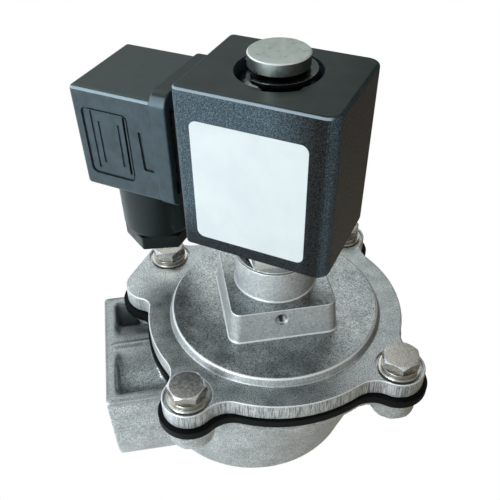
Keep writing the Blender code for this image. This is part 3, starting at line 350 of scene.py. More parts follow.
def cast_aluminium(name, smooth_skin):
    """Pressure-cast aluminium: sandy grey flats, matt sides painted paler as a painted highlight, and a
    painted highlight on its edges.

    A smooth skin, built with many small faces, tells its edges by their curvature, paints shade into its
    creases and over its top few millimetres. The others tell them by their slant, and show the fine lines
    that trimming leaves on the flange's front.
    """
    material, tree, shader = surface(name, "#a3a8a8", 0.42, 1.0)
    place = add(tree, "ShaderNodeTexCoord", out="Object")
    fine = in_millimetres(tree)
    grain = add(tree, "ShaderNodeTexNoise", {"Vector": fine, "Scale": 1 / CAST_GRAIN, "Detail": 1.0,
                                             "Roughness": 0.5})
    patch = add(tree, "ShaderNodeTexNoise", {"Vector": fine, "Scale": 1 / CAST_PATCH, "Detail": 3.0,
                                             "Roughness": 0.6})
    blotch = add(tree, "ShaderNodeTexNoise", {"Vector": fine, "Scale": 1 / CAST_BLOTCH, "Detail": 5.0,
                                              "Roughness": 0.7})
    tone = add(tree, "ShaderNodeValToRGB", {"Fac": blotch},
               stops=((0.3, "#a9b0b1"), (0.5, "#c8cdcd"), (0.7, "#e6e9e9")))
    speck = add(tree, "ShaderNodeValToRGB", {"Fac": grain},
                stops=((0.3, "#6a6f70"), (0.5, "#d6d9d9"), (0.64, "#ffffff")))
    worn_patch = add(tree, "ShaderNodeValToRGB", {"Fac": patch},
                     stops=((0.36, "#9fa3a3"), (0.56, "#ffffff")))
    skin = add(tree, "ShaderNodeMix", {SHARE: 0.85, UNDER: tone, OVER: speck},
               blend_type="MULTIPLY", **COLOURS)
    facing = add(tree, "ShaderNodeNewGeometry", out="Normal")
    rise = add(tree, "ShaderNodeSeparateXYZ", {"Vector": facing}, "Z")
    # Side faces are painted paler: a painted highlight from the light at the side.
    side = add(tree, "ShaderNodeMapRange", {"Value": rise, "From Min": 0.25, "From Max": 0.7,
                                            "To Min": 1.0, "To Max": 0.0})
    painted_side_light = add(tree, "ShaderNodeMath", {0: side, 1: 0.1 if smooth_skin else 0.45},
                operation="MULTIPLY")
    skin = add(tree, "ShaderNodeMix", {SHARE: painted_side_light, UNDER: skin, OVER: linear("#eef1f1")}, **COLOURS)
    patchy = add(tree, "ShaderNodeMath", {0: side, 1: 0.3}, operation="MULTIPLY")
    skin = add(tree, "ShaderNodeMix", {SHARE: patchy, UNDER: skin, OVER: worn_patch},
               blend_type="MULTIPLY", **COLOURS)
    height = add(tree, "ShaderNodeSeparateXYZ", {"Vector": place}, "Z")
    if smooth_skin:
        shaded = add(tree, "ShaderNodeMapRange", {"Value": height, "From Min": BODY_TOP - 3 * MM,
                                                  "From Max": BODY_TOP - MM, "To Max": 0.5})
        skin = add(tree, "ShaderNodeMix", {SHARE: shaded, UNDER: skin, OVER: linear("#6f7474")},
                   **COLOURS)
        # Sharp convex edges are painted white further down: a painted highlight.
        edges = add(tree, "ShaderNodeNewGeometry", out="Pointiness")
        painted_edge_highlight = add(tree, "ShaderNodeMapRange", {"Value": edges, "From Min": 0.53, "From Max": 0.57,
                                                "To Max": 0.85})
        # Creases are painted darker: painted shade.
        painted_crease_shade = add(tree, "ShaderNodeMapRange", {"Value": edges, "From Min": 0.44, "From Max": 0.49,
                                                  "To Min": 0.35, "To Max": 0.0})
        skin = add(tree, "ShaderNodeMix", {SHARE: painted_crease_shade, UNDER: skin, OVER: linear("#4e5354")},
                   **COLOURS)
    else:
        # Edges that slant between top and side are painted white further down: a painted highlight.
        painted_edge_highlight = slant_share(tree, rise, 0.45, 0.9)
        upright = add(tree, "ShaderNodeVectorMath", {0: fine, 1: (1, 1, TRIM_STRETCH)},
                      operation="MULTIPLY")
        trim = add(tree, "ShaderNodeTexNoise", {"Vector": upright, "Scale": 1 / TRIM_LINE,
                                                "Detail": 2.0, "Roughness": 0.6})
        flange = add(tree, "ShaderNodeMapRange", {"Value": height, "From Min": COVER_TOP - 0.6 * MM,
                                                  "From Max": COVER_TOP - 0.3 * MM, "To Min": 0.8,
                                                  "To Max": 0.0})
        ahead_y = add(tree, "ShaderNodeSeparateXYZ", {"Vector": facing}, "Y")
        front = add(tree, "ShaderNodeMapRange", {"Value": ahead_y, "From Min": -0.9, "From Max": -0.7,
                                                 "To Min": 1.0, "To Max": 0.0})
        trimmed = add(tree, "ShaderNodeMath", {0: flange, 1: front}, operation="MULTIPLY")
        lines = add(tree, "ShaderNodeValToRGB", {"Fac": trim},
                    stops=((0.38, "#5f6464"), (0.56, "#ffffff")))
        skin = add(tree, "ShaderNodeMix", {SHARE: trimmed, UNDER: skin, OVER: lines},
                   blend_type="MULTIPLY", **COLOURS)
    # The edges are painted white: a painted highlight.
    skin = add(tree, "ShaderNodeMix", {SHARE: painted_edge_highlight, UNDER: skin, OVER: linear("#ffffff")}, **COLOURS)
    dull_side = add(tree, "ShaderNodeMath", {0: side, 1: 0.55}, operation="MULTIPLY")
    dull_edge = add(tree, "ShaderNodeMath", {0: painted_edge_highlight, 1: 0.6}, operation="MULTIPLY")
    dull = add(tree, "ShaderNodeMath", {0: dull_side, 1: dull_edge}, operation="MAXIMUM")
    feed(shader, {
        "Base Color": skin,
        "Metallic": add(tree, "ShaderNodeMapRange", {"Value": dull, "To Min": 1.0, "To Max": 0.0}),
        "Roughness": add(tree, "ShaderNodeMapRange", {"Value": blotch, "From Min": 0.3, "From Max": 0.7,
                                                      "To Min": 0.34, "To Max": 0.48}),
        "Normal": add(tree, "ShaderNodeBump", {"Height": grain, "Distance": 0.045 * MM,
                                               "Strength": 1.0})})
    return material


def turned_steel(name, colour, roughness, ring_size, shade_below=0.0):
    """Turned steel: painted highlight on slanted edges, fine rings about the vertical axis, painted shade
    below a height.
    """
    material, tree, shader = surface(name, colour, roughness, 1.0)
    place = add(tree, "ShaderNodeTexCoord", out="Object")
    fine = in_millimetres(tree)
    facing = add(tree, "ShaderNodeNewGeometry", out="Normal")
    rise = add(tree, "ShaderNodeSeparateXYZ", {"Vector": facing}, "Z")
    # Slanted edges are painted white further down: a painted highlight.
    bright = slant_share(tree, rise, 0.25, 0.85, 0.9)
    height = add(tree, "ShaderNodeSeparateXYZ", {"Vector": place}, "Z")
    # Below the given height the steel is painted near black: painted shade, as under the core's cap.
    painted_low_shade = add(tree, "ShaderNodeMapRange", {"Value": height, "From Min": shade_below - 0.1 * MM,
                                            "From Max": shade_below, "To Min": 1.0, "To Max": 0.0})
    tone = add(tree, "ShaderNodeMix", {SHARE: bright, UNDER: linear(colour), OVER: linear("#ffffff")},
               **COLOURS)
    tone = add(tree, "ShaderNodeMix", {SHARE: painted_low_shade, UNDER: tone, OVER: linear("#1c1e1e")}, **COLOURS)
    centred = add(tree, "ShaderNodeVectorMath", {0: fine, 1: (VALVE_X / MM, 0, 0)}, operation="SUBTRACT")
    level_place = add(tree, "ShaderNodeVectorMath", {0: centred, 1: (1, 1, 0)}, operation="MULTIPLY")
    radius = add(tree, "ShaderNodeVectorMath", {0: level_place}, "Value", operation="LENGTH")
    up = add(tree, "ShaderNodeSeparateXYZ", {"Vector": fine}, "Z")
    turned_place = add(tree, "ShaderNodeCombineXYZ", {"X": radius, "Z": up})
    rings = add(tree, "ShaderNodeTexNoise", {"Vector": turned_place, "Scale": 1 / ring_size,
                                             "Detail": 2.0, "Roughness": 0.7})
    wear = add(tree, "ShaderNodeTexNoise", {"Vector": fine, "Scale": 1 / STEEL_WEAR, "Detail": 3.0,
                                            "Roughness": 0.6})
    feed(shader, {
        "Base Color": tone,
        "Metallic": add(tree, "ShaderNodeMapRange", {"Value": bright, "To Min": 1.0, "To Max": 0.4}),
        "Roughness": add(tree, "ShaderNodeMapRange", {"Value": wear, "From Min": 0.3, "From Max": 0.7,
                                                      "To Min": roughness - 0.05,
                                                      "To Max": roughness + 0.08}),
        "Normal": add(tree, "ShaderNodeBump", {"Height": rings, "Distance": 0.008 * MM,
                                               "Strength": 1.0})})
    return material


def zinc_plated_steel():
    """Zinc-plated bolts: slightly warm, dull in patches, with a painted highlight on their slanted edges.
    """
    material, tree, shader = surface("zinc plated steel", "#a09c93", 0.34, 1.0)
    fine = in_millimetres(tree)
    blotch = add(tree, "ShaderNodeTexNoise", {"Vector": fine, "Scale": 1 / PLATING_BLOTCH,
                                              "Detail": 3.0, "Roughness": 0.6})
    relief = add(tree, "ShaderNodeTexNoise", {"Vector": fine, "Scale": 1 / PLATING_GRAIN,
                                              "Detail": 3.0, "Roughness": 0.6})
    tone = add(tree, "ShaderNodeValToRGB", {"Fac": blotch},
               stops=((0.32, "#98948c"), (0.5, "#a39f97"), (0.7, "#aeaaa1")))
    facing = add(tree, "ShaderNodeNewGeometry", out="Normal")
    rise = add(tree, "ShaderNodeSeparateXYZ", {"Vector": facing}, "Z")
    # Slanted edges are painted white: a painted highlight.
    bright = slant_share(tree, rise, 0.3, 0.93, 0.8)
    feed(shader, {
        "Base Color": add(tree, "ShaderNodeMix", {SHARE: bright, UNDER: tone,
                                                  OVER: linear("#ffffff")}, **COLOURS),
        "Metallic": add(tree, "ShaderNodeMapRange", {"Value": bright, "To Min": 1.0, "To Max": 0.5}),
        "Roughness": add(tree, "ShaderNodeMapRange", {"Value": blotch, "From Min": 0.3, "From Max": 0.7,
                                                      "To Min": 0.2, "To Max": 0.3}),
        "Normal": add(tree, "ShaderNodeBump", {"Height": relief, "Distance": 0.012 * MM,
                                               "Strength": 1.0})})
    return material


def plain_metal(name, colour, roughness):
    """A metal with an even finish, whose gloss varies a little with handling."""
    material, tree, shader = surface(name, colour, roughness, 1.0)
    fine = in_millimetres(tree)
    wear = add(tree, "ShaderNodeTexNoise", {"Vector": fine, "Scale": 1 / METAL_WEAR, "Detail": 3.0,
                                            "Roughness": 0.6})
    feed(shader, {
        "Roughness": add(tree, "ShaderNodeMapRange", {"Value": wear, "From Min": 0.3, "From Max": 0.7,
                                                      "To Min": roughness - 0.06,
                                                      "To Max": roughness + 0.08}),
        "Normal": add(tree, "ShaderNodeBump", {"Height": wear, "Distance": 0.01 * MM,
                                               "Strength": 1.0})})
    return material


def nitrile_rubber():
    """Nitrile rubber: black and dull, with the faint dust that such rims pick up."""
    material, tree, shader = surface("nitrile rubber", "#0b0e0e", 0.6)
    fine = in_millimetres(tree)
    dust = add(tree, "ShaderNodeTexNoise", {"Vector": fine, "Scale": 1 / RUBBER_DUST, "Detail": 4.0,
                                            "Roughness": 0.7})
    relief = add(tree, "ShaderNodeTexNoise", {"Vector": fine, "Scale": 1 / RUBBER_GRAIN,
                                              "Detail": 2.0, "Roughness": 0.6})
    feed(shader, {
        "Specular IOR Level": 0.1,
        "Base Color": add(tree, "ShaderNodeValToRGB", {"Fac": dust},
                          stops=((0.4, "#060808"), (0.75, "#15191a"))),
        "Roughness": add(tree, "ShaderNodeMapRange", {"Value": dust, "From Min": 0.3, "From Max": 0.7,
                                                      "To Min": 0.46, "To Max": 0.64}),
        "Normal": add(tree, "ShaderNodeBump", {"Height": relief, "Distance": 0.012 * MM,
                                               "Strength": 1.0})})
    return material


def grained_nylon():
    """Glass-filled nylon of the coil: spark-eroded grain on its sides, smoother on its top.

    The sides' grain is painted lighter than the top, and blacker toward the front's right and low edges,
    where less of the room shows: painted light and shade. Its front edges get a painted highlight.
    """
    material, tree, shader = surface("glass filled nylon", "#1b1f24", 0.44)
    place = add(tree, "ShaderNodeTexCoord", out="Object")
    fine = in_millimetres(tree)
    grain = add(tree, "ShaderNodeTexNoise", {"Vector": fine, "Scale": 1 / NYLON_GRAIN, "Detail": 2.0,
                                             "Roughness": 0.5})
    flow = add(tree, "ShaderNodeTexNoise", {"Vector": fine, "Scale": 1 / NYLON_FLOW, "Detail": 3.0,
                                            "Roughness": 0.5})
    # The sides' grain is painted lighter and bluer than the top, and the top darker, for how the light
    # falls; the top's finer relief is real.
    painted_lit_sides = add(tree, "ShaderNodeValToRGB", {"Fac": grain},
                stops=((0.36, "#242d33"), (0.5, "#3b4851"), (0.66, "#5d6e7a")))
    painted_shade_sides = add(tree, "ShaderNodeValToRGB", {"Fac": grain},
                     stops=((0.4, "#050505"), (0.6, "#2b2b2b")))
    level_top = add(tree, "ShaderNodeValToRGB", {"Fac": flow},
                    stops=((0.3, "#141b1a"), (0.7, "#1f2926")))
    facing = add(tree, "ShaderNodeNewGeometry", out="True Normal")
    across = add(tree, "ShaderNodeSeparateXYZ", {"Vector": facing}, "X")
    rise = add(tree, "ShaderNodeSeparateXYZ", {"Vector": facing}, "Z")
    upward = add(tree, "ShaderNodeMapRange", {"Value": rise, "From Min": 0.6, "From Max": 0.95})
    height = add(tree, "ShaderNodeSeparateXYZ", {"Vector": place}, "Z")
    # Painted shade: the sides are painted blacker toward the coil's bottom and the front's right end.
    low = add(tree, "ShaderNodeMapRange", {"Value": height, "From Min": COIL_BOTTOM + 3 * MM,
                                           "From Max": COIL_BOTTOM + 14 * MM, "To Min": 0.85,
                                           "To Max": 0.0})
    right = coil_reach(tree, 5 * MM, 16 * MM)
    painted_shade_share = add(tree, "ShaderNodeMath", {0: low, 1: right}, operation="MAXIMUM")
    front = add(tree, "ShaderNodeMapRange", {"Value": across, "From Min": -0.4, "From Max": 0.2,
                                             "To Min": 1.0, "To Max": 0.0})
    painted_shade_share = add(tree, "ShaderNodeMath", {0: painted_shade_share, 1: front}, operation="MULTIPLY")
    skin = add(tree, "ShaderNodeMix", {SHARE: painted_shade_share, UNDER: painted_lit_sides, OVER: painted_shade_sides}, **COLOURS)
    skin = add(tree, "ShaderNodeMix", {SHARE: upward, UNDER: skin, OVER: level_top}, **COLOURS)
    # Rounded front edges get a painted highlight.
    skin = add(tree, "ShaderNodeMix", {SHARE: lit_edge(tree, 0.6), UNDER: skin,
                                       OVER: linear("#b6c6cf")}, **COLOURS)
    depth = add(tree, "ShaderNodeMapRange", {"Value": upward, "To Min": 0.07 * MM,
                                             "To Max": 0.02 * MM})
    feed(shader, {
        "Base Color": skin,
        "Specular Tint": linear("#cfe6df"),
        "Specular IOR Level": add(tree, "ShaderNodeMapRange", {"Value": painted_shade_share, "To Min": 0.33,
                                                               "To Max": 0.1}),
        "Normal": add(tree, "ShaderNodeBump", {"Height": grain, "Distance": depth, "Strength": 1.0})})
    return material


def satin_nylon():
    """Moulded plug plastic: smoother than the coil, with a soft sheen.

    Its top, the hood's top and the neck are painted darker as painted shade, and its front edges get a
    painted highlight.
    """
    material, tree, shader = surface("moulded plug plastic", "#20262b", 0.36)
    place = add(tree, "ShaderNodeTexCoord", out="Object")
    fine = in_millimetres(tree)
    flow = add(tree, "ShaderNodeTexNoise", {"Vector": fine, "Scale": 1 / PLUG_FLOW, "Detail": 3.0,
                                            "Roughness": 0.5})
    relief = add(tree, "ShaderNodeTexNoise", {"Vector": fine, "Scale": 1 / PLUG_GRAIN, "Detail": 2.0,
                                              "Roughness": 0.6})
    height = add(tree, "ShaderNodeSeparateXYZ", {"Vector": place}, "Z")
    # The neck below the plug is painted near black: painted shade under the plug.
    neck = add(tree, "ShaderNodeMapRange", {"Value": height, "From Min": PLUG_BOTTOM - 1.5 * MM,
                                            "From Max": PLUG_BOTTOM + 0.5 * MM, "To Min": 1.0,
                                            "To Max": 0.0})
    facing = add(tree, "ShaderNodeNewGeometry", out="True Normal")
    rise = add(tree, "ShaderNodeSeparateXYZ", {"Vector": facing}, "Z")
    upward = add(tree, "ShaderNodeMapRange", {"Value": rise, "From Min": 0.6, "From Max": 0.95})
    # The hood's top beside the coil is painted darker: painted shade.
    hood = coil_reach(tree, -SKIRT_LEFT - 0.3 * MM, -SKIRT_LEFT)
    painted_hood_shade = add(tree, "ShaderNodeMath", {0: upward, 1: hood}, operation="MULTIPLY")
    less_on_hood = coil_reach(tree, -SKIRT_LEFT - 0.3 * MM, -SKIRT_LEFT, 1.0, 0.35)
    # Rounded front edges get a painted highlight, weaker on the hood.
    painted_plug_highlight = add(tree, "ShaderNodeMath", {0: lit_edge(tree, 0.8), 1: less_on_hood},
                operation="MULTIPLY")
    skin = add(tree, "ShaderNodeValToRGB", {"Fac": flow}, stops=((0.3, "#2f393f"), (0.7, "#3f4b53")))
    # The top is painted darker than the front, as painted shade from how the light falls.
    for share, colour in ((upward, "#2c3633"), (painted_hood_shade, "#12181a"), (painted_plug_highlight, "#a9bac4"),
                          (neck, "#0a0d0e")):
        skin = add(tree, "ShaderNodeMix", {SHARE: share, UNDER: skin, OVER: linear(colour)}, **COLOURS)
    feed(shader, {
        "Base Color": skin,
        "Specular IOR Level": 0.4,
        "Specular Tint": linear("#cfe6df"),
        "Roughness": add(tree, "ShaderNodeMapRange", {"Value": flow, "From Min": 0.3, "From Max": 0.7,
                                                      "To Min": 0.34, "To Max": 0.46}),
        "Normal": add(tree, "ShaderNodeBump", {"Height": relief, "Distance": 0.008 * MM,
                                               "Strength": 1.0})})
    return material


def plain_nylon(name, colour, roughness=0.45):
    """Moulded nylon of the inner pieces: even in colour, with faint flow marks."""
    material, tree, shader = surface(name, colour, roughness)
    fine = in_millimetres(tree)
    flow = add(tree, "ShaderNodeTexNoise", {"Vector": fine, "Scale": 1 / INNER_FLOW, "Detail": 3.0,
                                            "Roughness": 0.6})
    feed(shader, {
        "Roughness": add(tree, "ShaderNodeMapRange", {"Value": flow, "From Min": 0.3, "From Max": 0.7,
                                                      "To Min": roughness - 0.06,
                                                      "To Max": roughness + 0.06}),
        "Normal": add(tree, "ShaderNodeBump", {"Height": flow, "Distance": 0.01 * MM,
                                               "Strength": 1.0})})
    return material


def label_film():
    """Blank white label film with a faint blue cast and a soft gloss."""
    material, tree, shader = surface("label film", "#dde7ea", 0.42)
    fine = in_millimetres(tree)
    cloud = add(tree, "ShaderNodeTexNoise", {"Vector": fine, "Scale": 1 / FILM_CLOUD, "Detail": 3.0,
                                             "Roughness": 0.6})
    relief = add(tree, "ShaderNodeTexNoise", {"Vector": fine, "Scale": 1 / FILM_GRAIN, "Detail": 2.0,
                                              "Roughness": 0.6})
    feed(shader, {
        "Base Color": add(tree, "ShaderNodeValToRGB", {"Fac": cloud},
                          stops=((0.3, "#cfd6d7"), (0.7, "#d8dddc"))),
        "Normal": add(tree, "ShaderNodeBump", {"Height": relief, "Distance": 0.004 * MM,
                                               "Strength": 1.0})})
    return material


# Mesh helpers

def to_object(name, bm):
    """A new object in the scene from a finished mesh under construction."""
    mesh = bpy.data.meshes.new(name)
    bm.to_mesh(mesh)
    bm.free()
    made = bpy.data.objects.new(name, mesh)
    bpy.context.scene.collection.objects.link(made)
    return made


def arc(centre, radius, start, end):
    """Points from one angle to another, without the last one."""
    steps = max(1, math.ceil(abs(end - start) / ARC_STEP))
    angles = [start + (end - start) * i / steps for i in range(steps)]
    return [(centre[0] + radius * math.cos(a), centre[1] + radius * math.sin(a)) for a in angles]


def circle(centre, radius, segments=FINE):
    """Points evenly round a circle."""
    angles = [math.tau * i / segments for i in range(segments)]
    return [(centre[0] + radius * math.cos(a), centre[1] + radius * math.sin(a)) for a in angles]


def rounded_rectangle(x0, x1, y0, y1, right, left=None):
    """Its corners have one radius on the right and may have another on the left."""
    left = left or right
    corners = [(x1 - right, y1 - right, right, 0), (x0 + left, y1 - left, left, 1),
               (x0 + left, y0 + left, left, 2), (x1 - right, y0 + right, right, 3)]
    points = []
    steps = 10
    for x, y, radius, quarter in corners:
        for i in range(steps + 1):
            a = (quarter + i / steps) * math.pi / 2
            points.append((x + radius * math.cos(a), y + radius * math.sin(a)))
    return points


def bearing(centre, point):
    """The angle at which a point is seen from a centre."""
    return math.atan2(point[1] - centre[1], point[0] - centre[0])


def ahead(start, end):
    """The end angle, with whole turns added until it isn't before the start."""
    while end < start:
        end += math.tau
    return end


def blend_centre(main_radius, ear, ear_radius, fillet, side):
    """Centre of the fillet circle that touches the main circle and an ear from outside."""
    gap = math.hypot(*ear)
    along = ((main_radius + fillet) ** 2 - (ear_radius + fillet) ** 2 + gap ** 2) / (2 * gap)
    across = side * math.sqrt((main_radius + fillet) ** 2 - along ** 2)
    ux, uy = ear[0] / gap, ear[1] / gap
    return ux * along - uy * across, uy * along + ux * across


def lobed_outline(grow, ear_grow):
    """The flange's outline: four bolt ears, and a lug beside the ear at the back left."""
    main_radius, ear_radius = COVER_R + grow, EAR_R + ear_grow
    lug = ((LUG_X, LUG_Y), LUG_R + ear_grow, EAR_FILLET / 2)
    ears = [[((BOLT_OFFSET, -BOLT_OFFSET), ear_radius, EAR_FILLET)],
            [((BOLT_OFFSET, BOLT_OFFSET), ear_radius, EAR_FILLET)],
            [((-BOLT_OFFSET, BOLT_OFFSET), ear_radius, EAR_FILLET), lug],
            [((-BOLT_OFFSET, -BOLT_OFFSET), ear_radius, EAR_FILLET)]]
    points = []
    heading = -math.pi / 2
    for lobes in ears:
        (first, first_radius, first_fillet), (last, last_radius, last_fillet) = lobes[0], lobes[-1]
        enter = blend_centre(main_radius, first, first_radius, first_fillet, -1)
        leave = blend_centre(main_radius, last, last_radius, last_fillet, 1)
        points += arc((0, 0), main_radius, heading, ahead(heading, bearing((0, 0), enter)))
        turn = bearing(enter, first)
        points += arc(enter, first_fillet, ahead(turn, bearing(enter, (0, 0))), turn)
        heading = bearing(first, enter)
        for (here, radius, _), (there, next_radius, _) in zip(lobes, lobes[1:]):
            span = math.hypot(there[0] - here[0], there[1] - here[1])
            normal = bearing(here, there) - math.acos((radius - next_radius) / span)
            stop = ahead(heading, normal)
            points += arc(here, radius, heading, stop)
            points.append((here[0] + radius * math.cos(stop), here[1] + radius * math.sin(stop)))
            heading = stop
        points += arc(last, last_radius, heading, ahead(heading, bearing(last, leave)))
        turn = bearing(leave, (0, 0))
        points += arc(leave, last_fillet, ahead(turn, bearing(leave, last)), turn)
        heading = bearing((0, 0), leave)
    points += arc((0, 0), main_radius, heading, ahead(heading, -math.pi / 2))
    return points


def stack(name, rings):
    """A closed skin through rings with the same number of points, lowest first."""
    bm = bmesh.new()
    loops = [[bm.verts.new(p) for p in points] for points in rings]
    for low, high in zip(loops, loops[1:]):
        for i in range(len(low)):
            j = (i + 1) % len(low)
            bm.faces.new((low[i], low[j], high[j], high[i]))
    bm.faces.new(loops[0][::-1])
    bm.faces.new(loops[-1])
    return to_object(name, bm)


def at(points, z):
    """Flat points lifted to a height."""
    return [(x, y, z) for x, y in points]


def prism(name, outline, bottom, top):
    """An outline drawn up from one height to another."""
    return stack(name, [at(outline, bottom), at(outline, top)])


def block(name, low, high):
    """A box between two corners."""
    return prism(name, [(high[0], high[1]), (low[0], high[1]), (low[0], low[1]), (high[0], low[1])],
                 low[2], high[2])


def soft_slab(name, x0, x1, y0, y1, bottom, top, corner, edge, steps=5, left=None):
    """A slab with rounded corners, and rounded edges round its top and bottom."""
    rings = []
    for i in range(steps + 1):
        a = math.pi / 2 * i / steps
        pull = edge * (1 - math.sin(a))
        outline = rounded_rectangle(x0 + pull, x1 - pull, y0 + pull, y1 - pull,
                                    max(corner - pull, 0.05 * MM),
                                    max((left or corner) - pull, 0.05 * MM))
        rings.append(at(outline, bottom + edge * (1 - math.cos(a))))
    rings += [at([(x, y) for x, y, _ in ring], bottom + top - ring[0][2]) for ring in rings[::-1]]
    return stack(name, rings)


def turned(name, profile, segments=FINE):
    """A profile of (radius, height) points turned about the vertical axis.

    It runs down its outer side. It starts and ends on the axis, or else it closes on itself.
    """
    bm = bmesh.new()
    rows = []
    for r, z in profile:
        if r == 0:
            rows.append([bm.verts.new((0, 0, z))])
        else:
            rows.append([bm.verts.new((x, y, z)) for x, y in circle((0, 0), r, segments)])
    pairs = list(zip(rows, rows[1:]))
    if profile[0][0]:
        pairs.append((rows[-1], rows[0]))
    for high, low in pairs:
        for i in range(segments):
            j = (i + 1) % segments
            if len(high) == 1:
                bm.faces.new((high[0], low[i], low[j]))
            elif len(low) == 1:
                bm.faces.new((high[j], high[i], low[0]))
            else:
                bm.faces.new((high[j], high[i], low[i], low[j]))
    bmesh.ops.recalc_face_normals(bm, faces=bm.faces)
    return to_object(name, bm)


def ring(name, inner, outer, bottom, top, edge=0.0, segments=FINE):
    """A flat ring, with a small chamfer on its outer edges if one is given."""
    profile = [(inner, top), (outer - edge, top), (outer, top - edge), (outer, bottom + edge),
               (outer - edge, bottom), (inner, bottom)]
    if not edge:
        profile = [(inner, top), (outer, top), (outer, bottom), (inner, bottom)]
    return turned(name, profile, segments)


def bar(name, radius, start, end, segments=FINE, turn=0.0):
    """A round or polygonal bar from one point to another."""
    start, end = Vector(start), Vector(end)
    run = end - start
    bm = bmesh.new()
    bmesh.ops.create_cone(bm, cap_ends=True, segments=segments, radius1=radius, radius2=radius,
                          depth=run.length)
    bmesh.ops.rotate(bm, cent=(0, 0, 0), matrix=Matrix.Rotation(turn, 3, "Z"), verts=bm.verts)
    bmesh.ops.rotate(bm, cent=(0, 0, 0), matrix=run.to_track_quat("Z", "Y").to_matrix(),
                     verts=bm.verts)
    bmesh.ops.translate(bm, vec=(start + end) / 2, verts=bm.verts)
    return to_object(name, bm)


def post(name, radius, bottom, top, x=0.0, y=0.0, segments=FINE, turn=0.0):
    """An upright round or polygonal bar."""
    return bar(name, radius, (x, y, bottom), (x, y, top), segments, turn)


def shifted(obj, x=0.0, y=0.0, z=0.0):
    """Moves a form's mesh and gives the form back."""
    obj.data.transform(Matrix.Translation((x, y, z)))
    return obj


def sideways(obj):
    """Turns a form built upright so that its height runs along -X and its y runs up."""
    obj.data.transform(Matrix(((0, 0, -1, 0), (1, 0, 0, 0), (0, 1, 0, 0), (0, 0, 0, 1))))
    obj.data.flip_normals()
    return obj


def settle(obj):
    """Turns an object's modifiers into its mesh."""
    bpy.context.view_layer.update()
    graph = bpy.context.evaluated_depsgraph_get()
    mesh = bpy.data.meshes.new_from_object(obj.evaluated_get(graph))
    old = obj.data
    obj.modifiers.clear()
    obj.data = mesh
    bpy.data.meshes.remove(old)
    return obj


def combine(obj, operation, *others):
    """Combines a form with others, which it uses up."""
    for other in others:
        change = obj.modifiers.new(other.name, "BOOLEAN")
        change.operation = operation
        change.solver = "EXACT"
        change.object = other
    settle(obj)
    for other in others:
        bpy.data.objects.remove(other, do_unlink=True)
    return obj


def join(obj, *others):
    """Adds other forms to one."""
    return combine(obj, "UNION", *others)


def cut(obj, *others):
    """Takes other forms out of one."""
    return combine(obj, "DIFFERENCE", *others)


def cast_skin(obj, cell, passes):
    """Gives a built-up form the continuous skin of a casting, with its edges and roots rounded."""
    remesh = obj.modifiers.new("skin", "REMESH")
    remesh.mode = "VOXEL"
    remesh.voxel_size = cell
    smooth = obj.modifiers.new("roots", "SMOOTH")
    smooth.factor = 0.5
    smooth.iterations = passes
    return settle(obj)


def bevelled(obj, width, steps=3, limit=30.0):
    """Rounds the edges that are sharper than the limit."""
    edges = obj.modifiers.new("edges", "BEVEL")
    edges.width = width
    edges.segments = steps
    edges.limit_method = "ANGLE"
    edges.angle_limit = math.radians(limit)
    edges.harden_normals = False
    return settle(obj)


def show(obj, body, material, place, replaces=(), smooth=35.0, weighted=True):
    """Finishes a piece: its place in the mesh, its shading, material, body and the nodes it stands for."""
    obj.data.transform(place)
    obj.data.materials.clear()
    obj.data.materials.append(material)
    obj.data.polygons.foreach_set("material_index", [0] * len(obj.data.polygons))
    obj.data.shade_smooth()
    obj.data.set_sharp_from_angle(angle=math.radians(smooth))
    if weighted:
        flats = obj.modifiers.new("flats stay flat", "WEIGHTED_NORMAL")
        flats.keep_sharp = True
        settle(obj)
    if body:
        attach(obj, body)
    if replaces:
        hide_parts(*replaces)
    return obj


# The valve's castings

def level(centre_x, radius, z):
    """A round ring of points at a height."""
    return at(circle((centre_x, 0), radius), z)


def bowl(name, inset, top, base):
    """The body's bowl, whose round base leans toward the inlet and has a rounded edge."""
    steps = 6
    rings = []
    for i in range(steps + 1):
        a = math.pi / 2 * i / steps
        pull = BOWL_ROUND * (1 - math.sin(a))
        rings.append(level(-BOWL_SHIFT, BOWL_BASE_R - inset - pull,
                           base + BOWL_ROUND * (1 - math.cos(a))))
    rings.append(level(0, BOWL_TOP_R - inset, top))
    return stack(name, rings)


